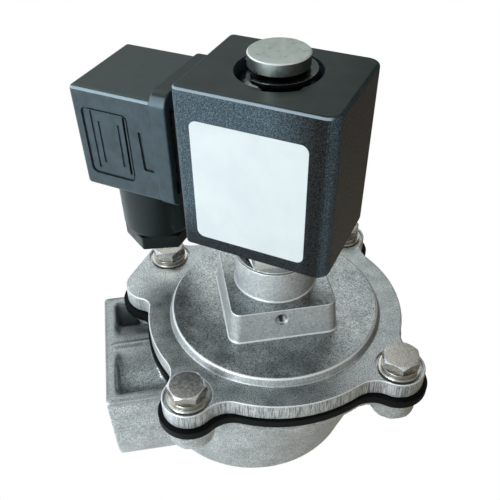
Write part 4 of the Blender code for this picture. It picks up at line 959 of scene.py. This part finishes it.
def body_casting(material):
    """The body: flange with ear bosses, bowl, squared inlet block, outlet boss and seat tube."""
    grow = BODY_R - COVER_R
    body = prism("body_casting", lobed_outline(grow, grow), BODY_TOP - BODY_FLANGE, BODY_TOP)
    side = INLET_HALF
    section = arc((0, INLET_Z), side, math.pi, math.tau)
    section += [(side, INLET_Z), (side, BODY_TOP), (-side, BODY_TOP)]
    squared = sideways(prism("squared", section, 0, INLET_REACH))
    inner = side - POCKET_WALL
    pockets = block("pockets", (-INLET_REACH + POCKET_END, -inner, INLET_Z),
                    (-BOWL_TOP_R / 2, inner, BODY_TOP + FIT))
    cut(pockets, bar("crown", BARREL_R, (-INLET_REACH, 0, INLET_Z), (0, 0, INLET_Z)))
    cut(squared, pockets)
    join(body, squared, bowl("bowl", 0, BODY_TOP - FIT, BOWL_BASE_Z),
         post("outlet", OUTLET_R, 0, BOWL_BASE_Z + BODY_WALL))
    join(body, *[post(f"ear_{x:.2f}_{y:.2f}", EAR_BOSS_R, BODY_TOP - EAR_BOSS_DEPTH, BODY_TOP - FIT,
                      x, y) for x, y in BOLT_PLACES])
    cut(body, bowl("chamber", BODY_WALL, BODY_TOP + FIT, BOWL_BASE_Z + BODY_WALL))
    join(body, post("seat", SEAT_R, BOWL_BASE_Z, SEAT_Z))
    cut(body, post("orifice", ORIFICE_R, -FIT, SEAT_Z + FIT),
        post("outlet_hole", THREAD_R, -FIT, THREAD_DEPTH))
    cut(body, bar("inlet_bore", INLET_BORE_R, (-INLET_REACH - FIT, 0, INLET_Z),
                  (-THREAD_R - POCKET_WALL, 0, INLET_Z)),
        bar("inlet_hole", THREAD_R, (-INLET_REACH - FIT, 0, INLET_Z),
            (-INLET_REACH + THREAD_DEPTH, 0, INLET_Z)))
    crown_top = INLET_Z + BARREL_R
    join(body, block("flash", (-INLET_REACH + POCKET_END - MM, -0.5 * MM, crown_top - MM),
                     (-BOWL_TOP_R, 0.5 * MM, crown_top + 0.5 * MM)))
    cast_skin(body, SKIN_CELL, 2)
    return show(body, "valve", material, VALVE, ["valve_body"], weighted=False)


def rounded_top(outline_at, bottom, top, edge, foot, floor):
    """Rings of a drafted form: a flared foot on the floor below it, and a rounded top edge.

    outline_at gives the ring's points for an amount by which it grows outward.
    """
    rings = [at(outline_at(foot), bottom), at(outline_at(foot), floor)]
    steps = 4
    for i in range(1, steps + 1):
        a = math.pi / 2 * i / steps
        rings.append(at(outline_at(foot * (1 - math.sin(a))), floor + foot * (1 - math.cos(a))))
    for i in range(steps + 1):
        a = math.pi / 2 * i / steps
        rings.append(at(outline_at(-edge * (1 - math.cos(a))), top - edge * (1 - math.sin(a))))
    return rings


def cover_casting(material):
    """The cover: lobed flange, raised disc, drafted pad with the vent hole, and the tube boss."""
    cover = prism("cover_casting", lobed_outline(0, 0), COVER_BOTTOM, COVER_TOP)
    bevelled(cover, 0.45 * MM, 3)
    # The disc's rounded edge and flared foot
    foot = DISC_FOOT_R + 0.25 * MM
    disc = turned("disc", [(0, DISC_TOP), (DISC_R - 0.45 * MM, DISC_TOP),
                           (DISC_R - 0.1 * MM, DISC_TOP - 0.08 * MM),
                           (DISC_R + 0.2 * MM, DISC_TOP - 0.3 * MM),
                           (DISC_R + 0.5 * MM, DISC_TOP - 0.8 * MM),
                           (DISC_FOOT_R - 0.4 * MM, COVER_TOP + 0.6 * MM),
                           (DISC_FOOT_R - 0.05 * MM, COVER_TOP + 0.08 * MM),
                           (foot, COVER_TOP), (foot, COVER_BOTTOM + MM), (0, COVER_BOTTOM + MM)], 128)
    slope = PAD_DRAFT / (PAD_TOP - DISC_TOP)
    half = PAD_HALF + PAD_DRAFT

    def pad_outline(grow):
        return rounded_rectangle(-half - grow, half + grow, -half - grow, half + grow,
                                 max(PAD_ROUND + grow, MM))

    rings = rounded_top(pad_outline, COVER_TOP, PAD_TOP, 0.4 * MM, 0.7 * MM, DISC_TOP)
    drafted = []
    for points in rings:
        pull = 1 - slope * max(points[0][2] - DISC_TOP, 0) / half
        drafted.append([(x * pull, y * pull, z) for x, y, z in points])
    boss = stack("boss", rounded_top(lambda grow: circle((0, 0), BOSS_R + grow), PAD_TOP - MM,
                                     BOSS_TOP, 0.35 * MM, 0.8 * MM, PAD_TOP))
    join(cover, disc, stack("pad", drafted))
    join(cover, boss)
    cut(cover, turned("dome", [(0, SPRING_POCKET_Z), (SPRING_POCKET_R, SPRING_POCKET_Z),
                               (SPRING_POCKET_R, DOME_ROOF), (DOME_R - 1.5 * MM, DOME_ROOF),
                               (DOME_R, COVER_BOTTOM - FIT), (0, COVER_BOTTOM - FIT)]))
    cut(cover, post("tube_hole", TUBE_HOLE_R, PILOT_FLOOR_Z, BOSS_TOP + FIT),
        bar("vent", EXHAUST_R, (EXHAUST_X, 0, EXHAUST_Z), (EXHAUST_X, -2 * PAD_HALF, EXHAUST_Z), 32),
        bar("vent_mouth", EXHAUST_R + 0.5 * MM, (EXHAUST_X, -PAD_HALF + 0.4 * MM, EXHAUST_Z),
            (EXHAUST_X, -2 * PAD_HALF, EXHAUST_Z), 32))
    for x, y in BOLT_PLACES:
        spot = turned("spot", [(0, COVER_TOP + FIT), (SPOT_R + FIT, COVER_TOP + FIT),
                               (SPOT_R + FIT, COVER_TOP), (SPOT_R, COVER_TOP - FIT),
                               (SPOT_R, COVER_TOP - SPOT_DEPTH), (0, COVER_TOP - SPOT_DEPTH)])
        cut(cover, post("hole", BOLT_R + 2 * FIT, COVER_BOTTOM - FIT, COVER_TOP + FIT, x, y, 48),
            shifted(spot, x, y))
    return show(cover, "valve", material, VALVE, ["cover"], 40.0)


def diaphragm_pieces(material):
    """The clamped rim, which stays on the valve's body, and the web, which lifts with the plates in the
    real valve but here is given no body.
    """
    rim = prism("diaphragm_rim", lobed_outline(RIM_PROUD, RIM_EAR_PROUD), RIM_BOTTOM, RIM_TOP)
    bevelled(rim, 0.3 * MM, 2)
    cut(rim, post("window", WEB_OUTER_R + FIT, RIM_BOTTOM - FIT, RIM_TOP + FIT))
    for x, y in BOLT_PLACES:
        cut(rim, post("hole", BOLT_R + 2 * FIT, RIM_BOTTOM - FIT, RIM_TOP + FIT, x, y, 48))
    show(rim, "valve", material, VALVE, ["diaphragm"])
    drop = RIM_TOP - SEAT - WEB_THICK
    upper = []
    lower = []
    steps = 24
    for i in range(steps + 1):
        share = i / steps
        r = WEB_OUTER_R - MM + (WEB_INNER_R - WEB_OUTER_R + MM) * share
        z = WEB_BOTTOM + (drop - WEB_BOTTOM) * (0.5 + 0.5 * math.cos(math.pi * share))
        upper.append((r, z + WEB_THICK))
        lower.append((r, z))
    edge = WEB_OUTER_R + FIT
    profile = [(edge, drop + WEB_THICK), (edge, drop), *lower, (HUB_HOLE_R, WEB_BOTTOM),
               (HUB_HOLE_R, WEB_BOTTOM + WEB_THICK), *upper[::-1]]
    web = turned("diaphragm_web", profile)
    show(web, None, material, VALVE)
    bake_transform(web)


def thread_tree():
    """A node tree that winds a right-hand pipe thread's ridge round a socket's wall.

    The ridge follows a helix, and sinks into the wall over a quarter turn at both ends.
    """
    tree = bpy.data.node_groups.new("pipe thread", "GeometryNodeTree")
    for name in ("Wall Radius", "Pitch", "Depth", "Length"):
        tree.interface.new_socket(name, in_out="INPUT", socket_type="NodeSocketFloat")
    tree.interface.new_socket("Material", in_out="INPUT", socket_type="NodeSocketMaterial")
    tree.interface.new_socket("Thread", in_out="OUTPUT", socket_type="NodeSocketGeometry")
    given = add(tree, "NodeGroupInput").node.outputs
    rise = add(tree, "ShaderNodeMath", {0: given["Length"], 1: given["Pitch"]}, operation="SUBTRACT")
    turns = add(tree, "ShaderNodeMath", {0: rise, 1: given["Pitch"]}, operation="DIVIDE")
    helix = add(tree, "GeometryNodeCurveSpiral", {
        "Resolution": THREAD_TURN_POINTS, "Rotations": turns, "Start Radius": given["Wall Radius"],
        "End Radius": given["Wall Radius"], "Height": rise, "Reverse": True})
    helix = add(tree, "GeometryNodeSetCurveNormal", {"Curve": helix}, mode="Z_UP")
    # The ridge's four corners: whether each is at the tip, and half its width as a share of the pitch
    corners = ((0, THREAD_ROOT_SHARE), (1, THREAD_TIP_SHARE), (1, -THREAD_TIP_SHARE),
               (0, -THREAD_ROOT_SHARE))
    points = {}
    for index, (deep, share) in enumerate(corners):
        inward = add(tree, "ShaderNodeMath", {0: given["Depth"], 1: -float(deep)},
                     operation="MULTIPLY")
        along = add(tree, "ShaderNodeMath", {0: given["Pitch"], 1: share}, operation="MULTIPLY")
        points[f"Point {index + 1}"] = add(tree, "ShaderNodeCombineXYZ", {"X": inward, "Y": along})
    section = add(tree, "GeometryNodeCurvePrimitiveQuadrilateral", points, mode="POINTS")
    gone = add(tree, "GeometryNodeSplineParameter", out="Factor")
    left = add(tree, "ShaderNodeMath", {0: 1.0, 1: gone}, operation="SUBTRACT")
    nearest = add(tree, "ShaderNodeMath", {0: gone, 1: left}, operation="MINIMUM")
    from_end = add(tree, "ShaderNodeMath", {0: nearest, 1: turns}, operation="MULTIPLY")
    fade = add(tree, "ShaderNodeMapRange", {"Value": from_end, "From Max": THREAD_FADE_TURNS,
                                            "To Min": 0.02})
    helix = add(tree, "GeometryNodeStoreNamedAttribute", {"Geometry": helix, "Name": "fade",
                                                          "Value": fade})
    ridge = add(tree, "GeometryNodeCurveToMesh", {"Curve": helix, "Profile Curve": section,
                                                  "Fill Caps": True})
    # Toward its ends the ridge sinks into the wall, with its width kept
    fade = add(tree, "GeometryNodeInputNamedAttribute", {"Name": "fade"})
    place = add(tree, "GeometryNodeInputPosition")
    level_place = add(tree, "ShaderNodeVectorMath", {0: place, 1: (1, 1, 0)}, operation="MULTIPLY")
    radius = add(tree, "ShaderNodeVectorMath", {0: level_place}, "Value", operation="LENGTH")
    outward = add(tree, "ShaderNodeVectorMath", {0: level_place}, operation="NORMALIZE")
    proud = add(tree, "ShaderNodeMath", {0: given["Wall Radius"], 1: radius}, operation="SUBTRACT")
    faded = add(tree, "ShaderNodeMath", {0: 1.0, 1: fade}, operation="SUBTRACT")
    sink = add(tree, "ShaderNodeMath", {0: proud, 1: faded}, operation="MULTIPLY")
    sink = add(tree, "ShaderNodeVectorMath", {0: outward, "Scale": sink}, operation="SCALE")
    ridge = add(tree, "GeometryNodeSetPosition", {"Geometry": ridge, "Offset": sink})
    ridge = add(tree, "GeometryNodeRemoveAttribute", {"Geometry": ridge, "Name": "fade"})
    lift = add(tree, "ShaderNodeMath", {0: given["Pitch"], 1: 0.5}, operation="MULTIPLY")
    lift = add(tree, "ShaderNodeCombineXYZ", {"Z": lift})
    ridge = add(tree, "GeometryNodeTransform", {"Geometry": ridge, "Translation": lift})
    ridge = add(tree, "GeometryNodeRealizeInstances", {"Geometry": ridge})
    ridge = add(tree, "GeometryNodeSetMaterial", {"Geometry": ridge, "Material": given["Material"]})
    add(tree, "NodeGroupOutput", {"Thread": ridge})
    return tree


def pipe_thread(name, tree, material, place):
    """A pipe thread's ridge on the wall of a socket, starting at its mouth."""
    thread = bpy.data.objects.new(name, bpy.data.meshes.new(name))
    bpy.context.scene.collection.objects.link(thread)
    wind = thread.modifiers.new("wind", "NODES")
    wind.node_group = tree
    given = {"Wall Radius": THREAD_R + THREAD_SUNK, "Pitch": THREAD_PITCH,
             "Depth": THREAD_HEIGHT + THREAD_SUNK, "Length": THREAD_LENGTH, "Material": material}
    for socket in tree.interface.items_tree:
        if socket.in_out == "INPUT":
            wind[socket.identifier] = given[socket.name]
    return show(settle(thread), "valve", material, place, smooth=50.0)


# Bolts and washers

def bolt_set(material, washer_steel):
    """The cover's hexagon bolts with flat and split washers under their heads."""
    flat_bottom = COVER_TOP - SPOT_DEPTH + SEAT
    split_bottom = flat_bottom + WASHER_THICK + SEAT
    head_bottom = split_bottom + SPLIT_THICK + SEAT
    head_top = head_bottom + HEAD_RISE
    corner = HEAD_FLATS / math.sqrt(3)
    face = HEAD_FLATS / 2
    for index, (x, y) in enumerate(BOLT_PLACES):
        name = str(index + 1)
        turn = math.radians(BOLT_TURNS_DEG[index])
        washer = ring("washer_" + name, BOLT_R + FIT, WASHER_R, flat_bottom,
                      flat_bottom + WASHER_THICK, 0.2 * MM)
        show(shifted(washer, x, y), "valve", washer_steel, VALVE,
             ["flat_washer_" + name])
        split = ring("split_washer_" + name, BOLT_R + FIT, SPLIT_R, split_bottom,
                     split_bottom + SPLIT_THICK, 0.1 * MM)
        slit = block("slit", (0, -SPLIT_GAP / 2, split_bottom - FIT),
                     (SPLIT_R + FIT, SPLIT_GAP / 2, head_bottom + FIT))
        slit.data.transform(Matrix.Rotation(turn * 3, 4, "Z"))
        cut(split, slit)
        show(shifted(split, x, y), "valve", washer_steel, VALVE,
             ["spring_washer_" + name])
        bolt = post("bolt_" + name, corner, head_bottom, head_top, segments=6)
        crown = [(0, head_top), (face - 0.25 * MM, head_top), (face, head_top - 0.12 * MM),
                 (corner, head_top - 0.85 * MM), (corner, head_bottom + 0.4 * MM),
                 (face, head_bottom), (0, head_bottom)]
        combine(bolt, "INTERSECT", turned("crown", crown))
        bolt = bevelled(bolt, 0.12 * MM, 2, 20.0)
        join(bolt, turned("shank", shank_profile(head_bottom)))
        bolt.data.transform(Matrix.Rotation(turn, 4, "Z"))
        show(shifted(bolt, x, y), "valve", material, VALVE,
             ["cover_bolt_" + name], 15.0)


def shank_profile(head_bottom):
    """Plain shank, then thread crests down to the tip."""
    tip = head_bottom - BOLT_LENGTH
    profile = [(0, head_bottom + MM), (BOLT_R, head_bottom + MM), (BOLT_R, head_bottom - 5 * MM)]
    z = head_bottom - 5 * MM
    pitch = MM
    while z - pitch > tip + 0.5 * MM:
        profile += [(BOLT_R - 0.5 * MM, z - pitch / 2), (BOLT_R, z - pitch)]
        z -= pitch
    return profile + [(BOLT_R - 0.6 * MM, tip), (0, tip)]


# The operator tube

def operator_pieces(stainless, brushed, dark_steel):
    """The tube's hexagon foot, the core whose cap stands out of the coil, and the clip."""
    corner = BASE_FLATS / math.sqrt(3)
    face = BASE_FLATS / 2
    low = BOSS_TOP + SEAT
    high = low + BASE_HEX
    base = post("operator_base", corner, low, high, segments=6, turn=math.radians(BASE_TURN_DEG))
    combine(base, "INTERSECT", turned("crown", [
        (0, high), (face - 0.3 * MM, high), (corner, high - 1.1 * MM), (corner, low + 0.1 * MM),
        (corner - 0.1 * MM, low), (0, low)]))
    bevelled(base, 0.15 * MM, 2, 20.0)
    shoulder = high + BASE_SHOULDER
    join(base, ring("washer_face", BASE_THREAD_R - MM, BOSS_R - 0.3 * MM, low, low + 0.5 * MM,
                    0.1 * MM))
    join(base, turned("stem", [(0, shoulder), (BASE_SHOULDER_R - 0.2 * MM, shoulder),
                               (BASE_SHOULDER_R, shoulder - 0.2 * MM), (BASE_SHOULDER_R, high - MM),
                               (BASE_THREAD_R, high - MM), (BASE_THREAD_R, BASE_BOTTOM),
                               (0, BASE_BOTTOM)]))
    cut(base, post("bore", TUBE_R + SEAT, BASE_BOTTOM - FIT, shoulder + FIT))
    show(base, "valve", stainless, VALVE, ["tube_base"], 15.0)
    cap_bottom = CAP_TOP - CAP_RISE
    collar_bottom = cap_bottom - CAP_COLLAR
    groove = collar_bottom - CLIP_GROOVE
    tube_top = COIL_TOP - RECESS_DEPTH - FIT
    core_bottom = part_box("fixed_core")[0].z
    guide = TUBE_R - 0.55 * MM
    core = turned("core_cap", [
        (0, CAP_TOP), (CAP_R - 0.3 * MM, CAP_TOP), (CAP_R, CAP_TOP - 0.25 * MM),
        (CAP_R, cap_bottom + 0.15 * MM),
        (CAP_R - 0.15 * MM, cap_bottom), (CAP_COLLAR_R, cap_bottom), (CAP_COLLAR_R, collar_bottom),
        (CLIP_GROOVE_R, collar_bottom), (CLIP_GROOVE_R, groove),
        (TUBE_R, groove), (TUBE_R, tube_top + SEAT), (guide, tube_top + SEAT),
        (guide, core_bottom), (0, core_bottom)], 128)
    show(core, "valve", brushed, VALVE, ["fixed_core"], 15.0)
    clip_low = groove + FIT
    start = math.radians(CLIP_TURN_DEG + CLIP_GAP_DEG / 2)
    end = start + math.tau - math.radians(CLIP_GAP_DEG)
    inner = CLIP_GROOVE_R + FIT
    outline = arc((0, 0), CLIP_R, start, end)
    outline += [(CLIP_R * math.cos(end), CLIP_R * math.sin(end))]
    outline += arc((0, 0), inner, end, start) + [(inner * math.cos(start), inner * math.sin(start))]
    clip = prism("clip", outline, clip_low, clip_low + CLIP_THICK)
    show(bevelled(clip, 0.12 * MM, 2), "valve", dark_steel, VALVE, ["retaining_clip"])


def return_spring(node, material):
    """A copy of a spring from the frame, shown in place of its node; the real spring is pressed together
    as its lower end rises with the body it pushes on.
    """
    coil = bpy.data.objects.new(node + "_coil", frame["nodes"][node].data.copy())
    bpy.context.scene.collection.objects.link(coil)
    show(coil, None, material, Matrix.Identity(4), [node], 50.0)
    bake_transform(coil)


# Coil and plug

def coil_block(material):
    """The moulded coil: rounded block with a contact platform, top recess and notch."""
    coil = soft_slab("coil_block", -COIL_LEFT, COIL_RIGHT, -COIL_FRONT, COIL_BACK, COIL_BOTTOM,
                     COIL_TOP, COIL_CORNER, COIL_EDGE, left=COIL_PLUG_CORNER)
    notch = block("notch", (NOTCH_LEFT, -COIL_FRONT, COIL_TOP - NOTCH_DEPTH),
                  (NOTCH_RIGHT, 0, COIL_TOP + FIT))
    combine(notch, "INTERSECT", post("reach", RECESS_R + NOTCH_REACH, COIL_BOTTOM, COIL_TOP + MM))
    join(coil, block("platform", (-SOCKET_LEFT, PLUG_MID_Y - SOCKET_HALF, PLUG_MID_Z - SOCKET_HALF),
                     (-COIL_LEFT + MM, PLUG_MID_Y + SOCKET_HALF, PLUG_MID_Z + SOCKET_HALF)))
    cut(coil, post("bore", TUBE_R + FIT, COIL_BOTTOM - FIT, COIL_TOP + FIT),
        post("cavity", COIL_CAVITY_R, COIL_BOTTOM + 5 * MM, COIL_TOP - RECESS_DEPTH - 4 * MM),
        post("recess", RECESS_R, COIL_TOP - RECESS_DEPTH, COIL_TOP + FIT), notch)
    return show(coil, "coil", material, COIL, ["coil_housing"], 40.0)


def on_front(obj, y):
    """Stands a flat form up, so that it rises toward the front from y."""
    obj.data.transform(Matrix(((1, 0, 0, 0), (0, 0, -1, y), (0, 1, 0, 0), (0, 0, 0, 1))))
    return obj


def label(material):
    """A blank rounded label on the coil's front face."""
    film = soft_slab("blank_label", -LABEL_LEFT, LABEL_RIGHT, LABEL_BOTTOM, LABEL_TOP, 0, LABEL_THICK,
                     2 * MM, 0.03 * MM, 2)
    return show(on_front(film, -COIL_FRONT + LABEL_SUNK), "coil", material, COIL)


def groove(name, points, width, depth, front):
    """A cutter along a path of (x, z) points on the plug's front face."""
    pieces = []
    for index, (here, there) in enumerate(zip(points, points[1:])):
        run = Vector((there[0] - here[0], 0, there[1] - here[1]))
        side = Vector((run.z, 0, -run.x)).normalized() * width / 2
        bm = bmesh.new()
        base = [Vector((here[0], 0, here[1])) + side, Vector((there[0], 0, there[1])) + side,
                Vector((there[0], 0, there[1])) - side, Vector((here[0], 0, here[1])) - side]
        near = [bm.verts.new(p + Vector((0, front - 0.5 * MM, 0))) for p in base]
        far = [bm.verts.new(p + Vector((0, front + depth, 0))) for p in base]
        bm.faces.new(near)
        bm.faces.new(far[::-1])
        for i in range(4):
            j = (i + 1) % 4
            bm.faces.new((near[i], far[i], far[j], near[j]))
        bmesh.ops.recalc_face_normals(bm, faces=bm.faces)
        pieces.append(to_object(f"{name}_{index}", bm))
    return pieces


def plug_shell(material):
    """The square plug: body, hooded skirt, moulded grip grooves and the gland neck."""
    edge = PLUG_ROUND
    shell = sideways(soft_slab("plug_shell", -PLUG_FRONT, PLUG_BACK, PLUG_BOTTOM, PLUG_TOP,
                               SKIRT_LEFT - 2 * MM, PLUG_LEFT, edge, edge))
    front, back = -PLUG_FRONT - SKIRT_PROUD, PLUG_BACK + SKIRT_PROUD
    skirt = sideways(soft_slab("skirt", front, back, SKIRT_BOTTOM, SKIRT_TOP, SKIRT_RIGHT,
                               SKIRT_LEFT, SKIRT_ROUND, 0.5 * MM, 3))
    neck_top = PLUG_BOTTOM + PLUG_WALL / 2
    neck_low = NUT_TOP + SEAT
    neck = turned("neck", [(0, neck_top), (NECK_R, neck_top), (NECK_R, neck_low + NECK_TAPER),
                           (NECK_R - NECK_TAPER / 2, neck_low), (0, neck_low)])
    join(shell, skirt, shifted(neck, GLAND_X, PLUG_MID_Y))
    half = SOCKET_HALF + FIT
    cut(shell, block("cavity", (-PLUG_LEFT + PLUG_WALL, PLUG_MID_Y - half, PLUG_BOTTOM + PLUG_WALL),
                     (-SKIRT_RIGHT + FIT, PLUG_MID_Y + half, PLUG_TOP - PLUG_WALL)),
        post("gland_bore", GLAND_BORE_R, NUT_BOTTOM, GLAND_BORE_TOP, GLAND_X, PLUG_MID_Y),
        post("wire_hole", GLAND_BORE_R - 2 * MM, GLAND_BORE_TOP - SEAT,
             PLUG_BOTTOM + PLUG_WALL + MM, GLAND_X, PLUG_MID_Y))
    x0, x1, z0, z1 = PANEL
    rim = rounded_rectangle(x0, x1, z0, z1, 1.8 * MM)
    inner = rounded_rectangle(x0 + PANEL_FRAME, x1 - PANEL_FRAME, z0 + PANEL_FRAME, z1 - PANEL_FRAME,
                              1.2 * MM)
    panel_frame = cut(prism("frame", rim, 0, GROOVE_DEPTH + 0.5 * MM),
                      prism("inside", inner, -MM, GROOVE_DEPTH - PANEL_SUNK))
    cut(shell, on_front(panel_frame, -PLUG_FRONT + GROOVE_DEPTH))
    tab = prism("tab", rounded_rectangle(*TAB, 0.3 * MM), 0, PANEL_SUNK + 0.5 * MM)
    cut(shell, on_front(tab, -PLUG_FRONT + PANEL_SUNK))
    for index, line in enumerate(GRIP_GROOVES):
        points = [(x * MM, z * MM) for x, z in line]
        cut(shell, *groove(f"line_{index}", points, GROOVE_WIDTH, GROOVE_DEPTH, -PLUG_FRONT))
    return show(shell, "coil", material, COIL, ["plug_housing"], 40.0)


def gland_pieces(plastic):
    """The hexagon nut under the plug's neck, with its spigot and bore."""
    nut = post("cable_nut", NUT_FLATS / math.sqrt(3), NUT_BOTTOM, NUT_TOP, GLAND_X, PLUG_MID_Y, 6)
    bevelled(nut, 0.5 * MM, 3)
    join(nut, post("spigot", GLAND_BORE_R - FIT, NUT_TOP - MM, SPIGOT_TOP, GLAND_X, PLUG_MID_Y))
    cut(nut, post("nut_hole", NUT_BORE_R, NUT_BOTTOM - FIT, SPIGOT_TOP + FIT, GLAND_X, PLUG_MID_Y))
    return show(nut, "coil", plastic, COIL, ["gland_nut"], 40.0)


# The studio

def lamp(name, place, aim, size, power, colour):
    """A rectangular lamp that points at its aim."""
    light = bpy.data.lights.new(name, "AREA")
    light.shape = "RECTANGLE"
    light.size, light.size_y = size
    light.energy = power
    light.color = colour
    holder = bpy.data.objects.new(name, light)
    bpy.context.scene.collection.objects.link(holder)
    holder.location = place
    run = Vector(aim) - Vector(place)
    holder.rotation_euler = run.to_track_quat("-Z", "Y").to_euler()
    return holder


def photo_camera():
    """The camera that took the photograph, as solved from the corners in it."""
    scene = bpy.context.scene
    camera = bpy.data.objects.new("camera", bpy.data.cameras.new("camera"))
    scene.collection.objects.link(camera)
    turn = Matrix((CAMERA_RIGHT, CAMERA_UP, CAMERA_BACK)).transposed()
    camera.matrix_world = Matrix.Translation(CAMERA_AT) @ turn.to_4x4()
    camera.data.lens = CAMERA_LENS
    camera.data.shift_x, camera.data.shift_y = CAMERA_SHIFT
    camera.data.clip_start = 0.01
    camera.data.clip_end = 20
    scene.camera = camera


def room():
    """Grey daylight that darkens to the right, seen by the camera as plain white."""
    world = bpy.data.worlds.new("studio")
    bpy.context.scene.world = world
    world.use_nodes = True
    tree = world.node_tree
    tree.nodes.clear()
    heading = add(tree, "ShaderNodeTexCoord", out="Generated")
    across = add(tree, "ShaderNodeSeparateXYZ", {"Vector": heading}, "X")
    across = add(tree, "ShaderNodeMapRange", {"Value": across, "From Min": -1.0})
    sky = add(tree, "ShaderNodeValToRGB", {"Fac": across},
              stops=((0.0, "#eaf6ff"), (0.35, "#d0dade"), (0.62, "#a4aaa8"), (0.8, "#6b6358"),
                     (1.0, "#3c3226")))
    daylight = add(tree, "ShaderNodeBackground", {"Color": sky, "Strength": 0.75})
    white = add(tree, "ShaderNodeBackground", {"Color": (1, 1, 1, 1), "Strength": 1.0})
    seen = add(tree, "ShaderNodeLightPath", out="Is Camera Ray")
    mixed = add(tree, "ShaderNodeMixShader", {0: seen, 1: daylight, 2: white})
    add(tree, "ShaderNodeOutputWorld", {"Surface": mixed})


def pale_floor():
    """A floor that throws soft light up, warmer to the right, and looks plain white."""
    floor = stack("floor", [at([(0.6, 0.6), (-0.6, 0.6), (-0.6, -0.6), (0.6, -0.6)], z)
                            for z in (-4 * MM, -0.2 * MM)])
    material, tree, shader = surface("floor", "#f1ede7", 0.9)
    place = add(tree, "ShaderNodeTexCoord", out="Object")
    across = add(tree, "ShaderNodeSeparateXYZ", {"Vector": place}, "X")
    across = add(tree, "ShaderNodeMapRange", {"Value": across, "From Min": -0.1, "From Max": 0.2})
    shade = add(tree, "ShaderNodeValToRGB", {"Fac": across},
                stops=((0.05, "#f6fbff"), (0.27, "#cfcdc9"), (0.6, "#8a7a66"), (1.0, "#66503a")))
    feed(shader, {"Base Color": shade, "Emission Color": shade, "Emission Strength": 0.5})
    seen = add(tree, "ShaderNodeLightPath", out="Is Camera Ray")
    white = add(tree, "ShaderNodeEmission", {"Color": (1, 1, 1, 1), "Strength": 1.0})
    mixed = add(tree, "ShaderNodeMixShader", {0: seen, 1: shader.outputs[0], 2: white})
    feed(tree.nodes["Material Output"], {"Surface": mixed})
    floor.data.materials.append(material)


def studio():
    """Camera, white backdrop, pale floor and soft lamps."""
    bpy.context.scene.view_settings.view_transform = "Standard"
    photo_camera()
    room()
    pale_floor()
    middle = (0, 0, 0.07)
    inlet = (-0.02, 0, 0.05)
    lamp("key", (-0.48, -0.40, 0.36), middle, (0.25, 0.25), 2.2, (0.92, 0.97, 1.0))
    lamp("top", (-0.06, 0.32, 0.57), middle, (0.6, 0.4), 1.3, (0.97, 0.99, 1.0))
    lamp("left", (-0.55, -0.14, 0.05), inlet, (0.3, 0.2), 0.5, (0.9, 0.96, 1.0))
    lamp("fill", (0.45, -0.35, 0.30), middle, (0.4, 0.5), 0.15, (1.0, 0.9, 0.75))


def main():
    """Makes every finish, dresses the frame's nodes and builds the pieces over them."""
    cast = cast_aluminium("cast aluminium", True)
    cover_cast = cast_aluminium("cast aluminium, crisp", False)
    stainless = turned_steel("turned stainless steel", "#e6e8e4", 0.2, FOOT_RINGS)
    brushed = turned_steel("brushed core steel", "#b4bdb7", 0.3, CAP_RINGS,
                           CAP_TOP - CAP_RISE)
    plated = zinc_plated_steel()
    # Oiled spring steel is dark and glossy, and soft iron a duller grey
    dark_steel = plain_metal("oiled spring steel", "#595c5d", 0.22)
    iron = plain_metal("soft iron", "#6d6d6d", 0.5)
    # Enamel keeps the copper's red-brown under a gloss, and tin turns the brass pale
    copper = plain_metal("enamelled copper", "#b0633a", 0.3)
    brass = plain_metal("tinned brass", "#c9bd96", 0.28)
    black_rubber = nitrile_rubber()
    coil_nylon = grained_nylon()
    plug_nylon = satin_nylon()
    grey = plain_nylon("grey nylon", "#7c7c76")
    film = label_film()
    finishes = {"cast_aluminium": cast, "stainless_steel": stainless, "zinc_plated_steel": plated,
                "spring_steel": dark_steel, "soft_iron": iron, "nitrile_rubber": black_rubber,
                "glass_filled_nylon": coil_nylon, "moulded_plug_black": plug_nylon,
                "grey_nylon": grey, "enamelled_copper": copper, "tinned_brass": brass}
    slots = {s["node"]: s["material_slot"] for s in frame["record"]["subparts"]}
    # The dished washer shares the spring steel of the clip that it presses against
    for name, node in frame["nodes"].items():
        node.data.materials.clear()
        node.data.materials.append(dark_steel if name == "dished_washer" else finishes[slots[name]])
    body_casting(cast)
    cover_casting(cover_cast)
    diaphragm_pieces(black_rubber)
    # Freshly cut aluminium is cleaner and shinier than the cast skin round it
    cut_metal = plain_metal("cut aluminium", "#aeb2b2", 0.36)
    thread = thread_tree()
    pipe_thread("outlet_thread", thread, cut_metal, VALVE)
    mouth = Matrix.Translation((-INLET_REACH, 0, INLET_Z)) @ Matrix.Rotation(math.pi / 2, 4, "Y")
    pipe_thread("inlet_thread", thread, cut_metal, VALVE @ mouth)
    # The washers get a lighter copy of the bolts' zinc plating, painted lighter to lift the shade under
    # the heads
    bolt_set(plated, plain_metal("zinc plated washers, painted lighter", "#dcdad2", 0.3))
    operator_pieces(stainless, brushed, dark_steel)
    return_spring("diaphragm_spring", dark_steel)
    return_spring("armature_spring", dark_steel)
    coil_block(coil_nylon)
    label(film)
    plug_shell(plug_nylon)
    gland_pieces(plug_nylon)
    studio()


main()
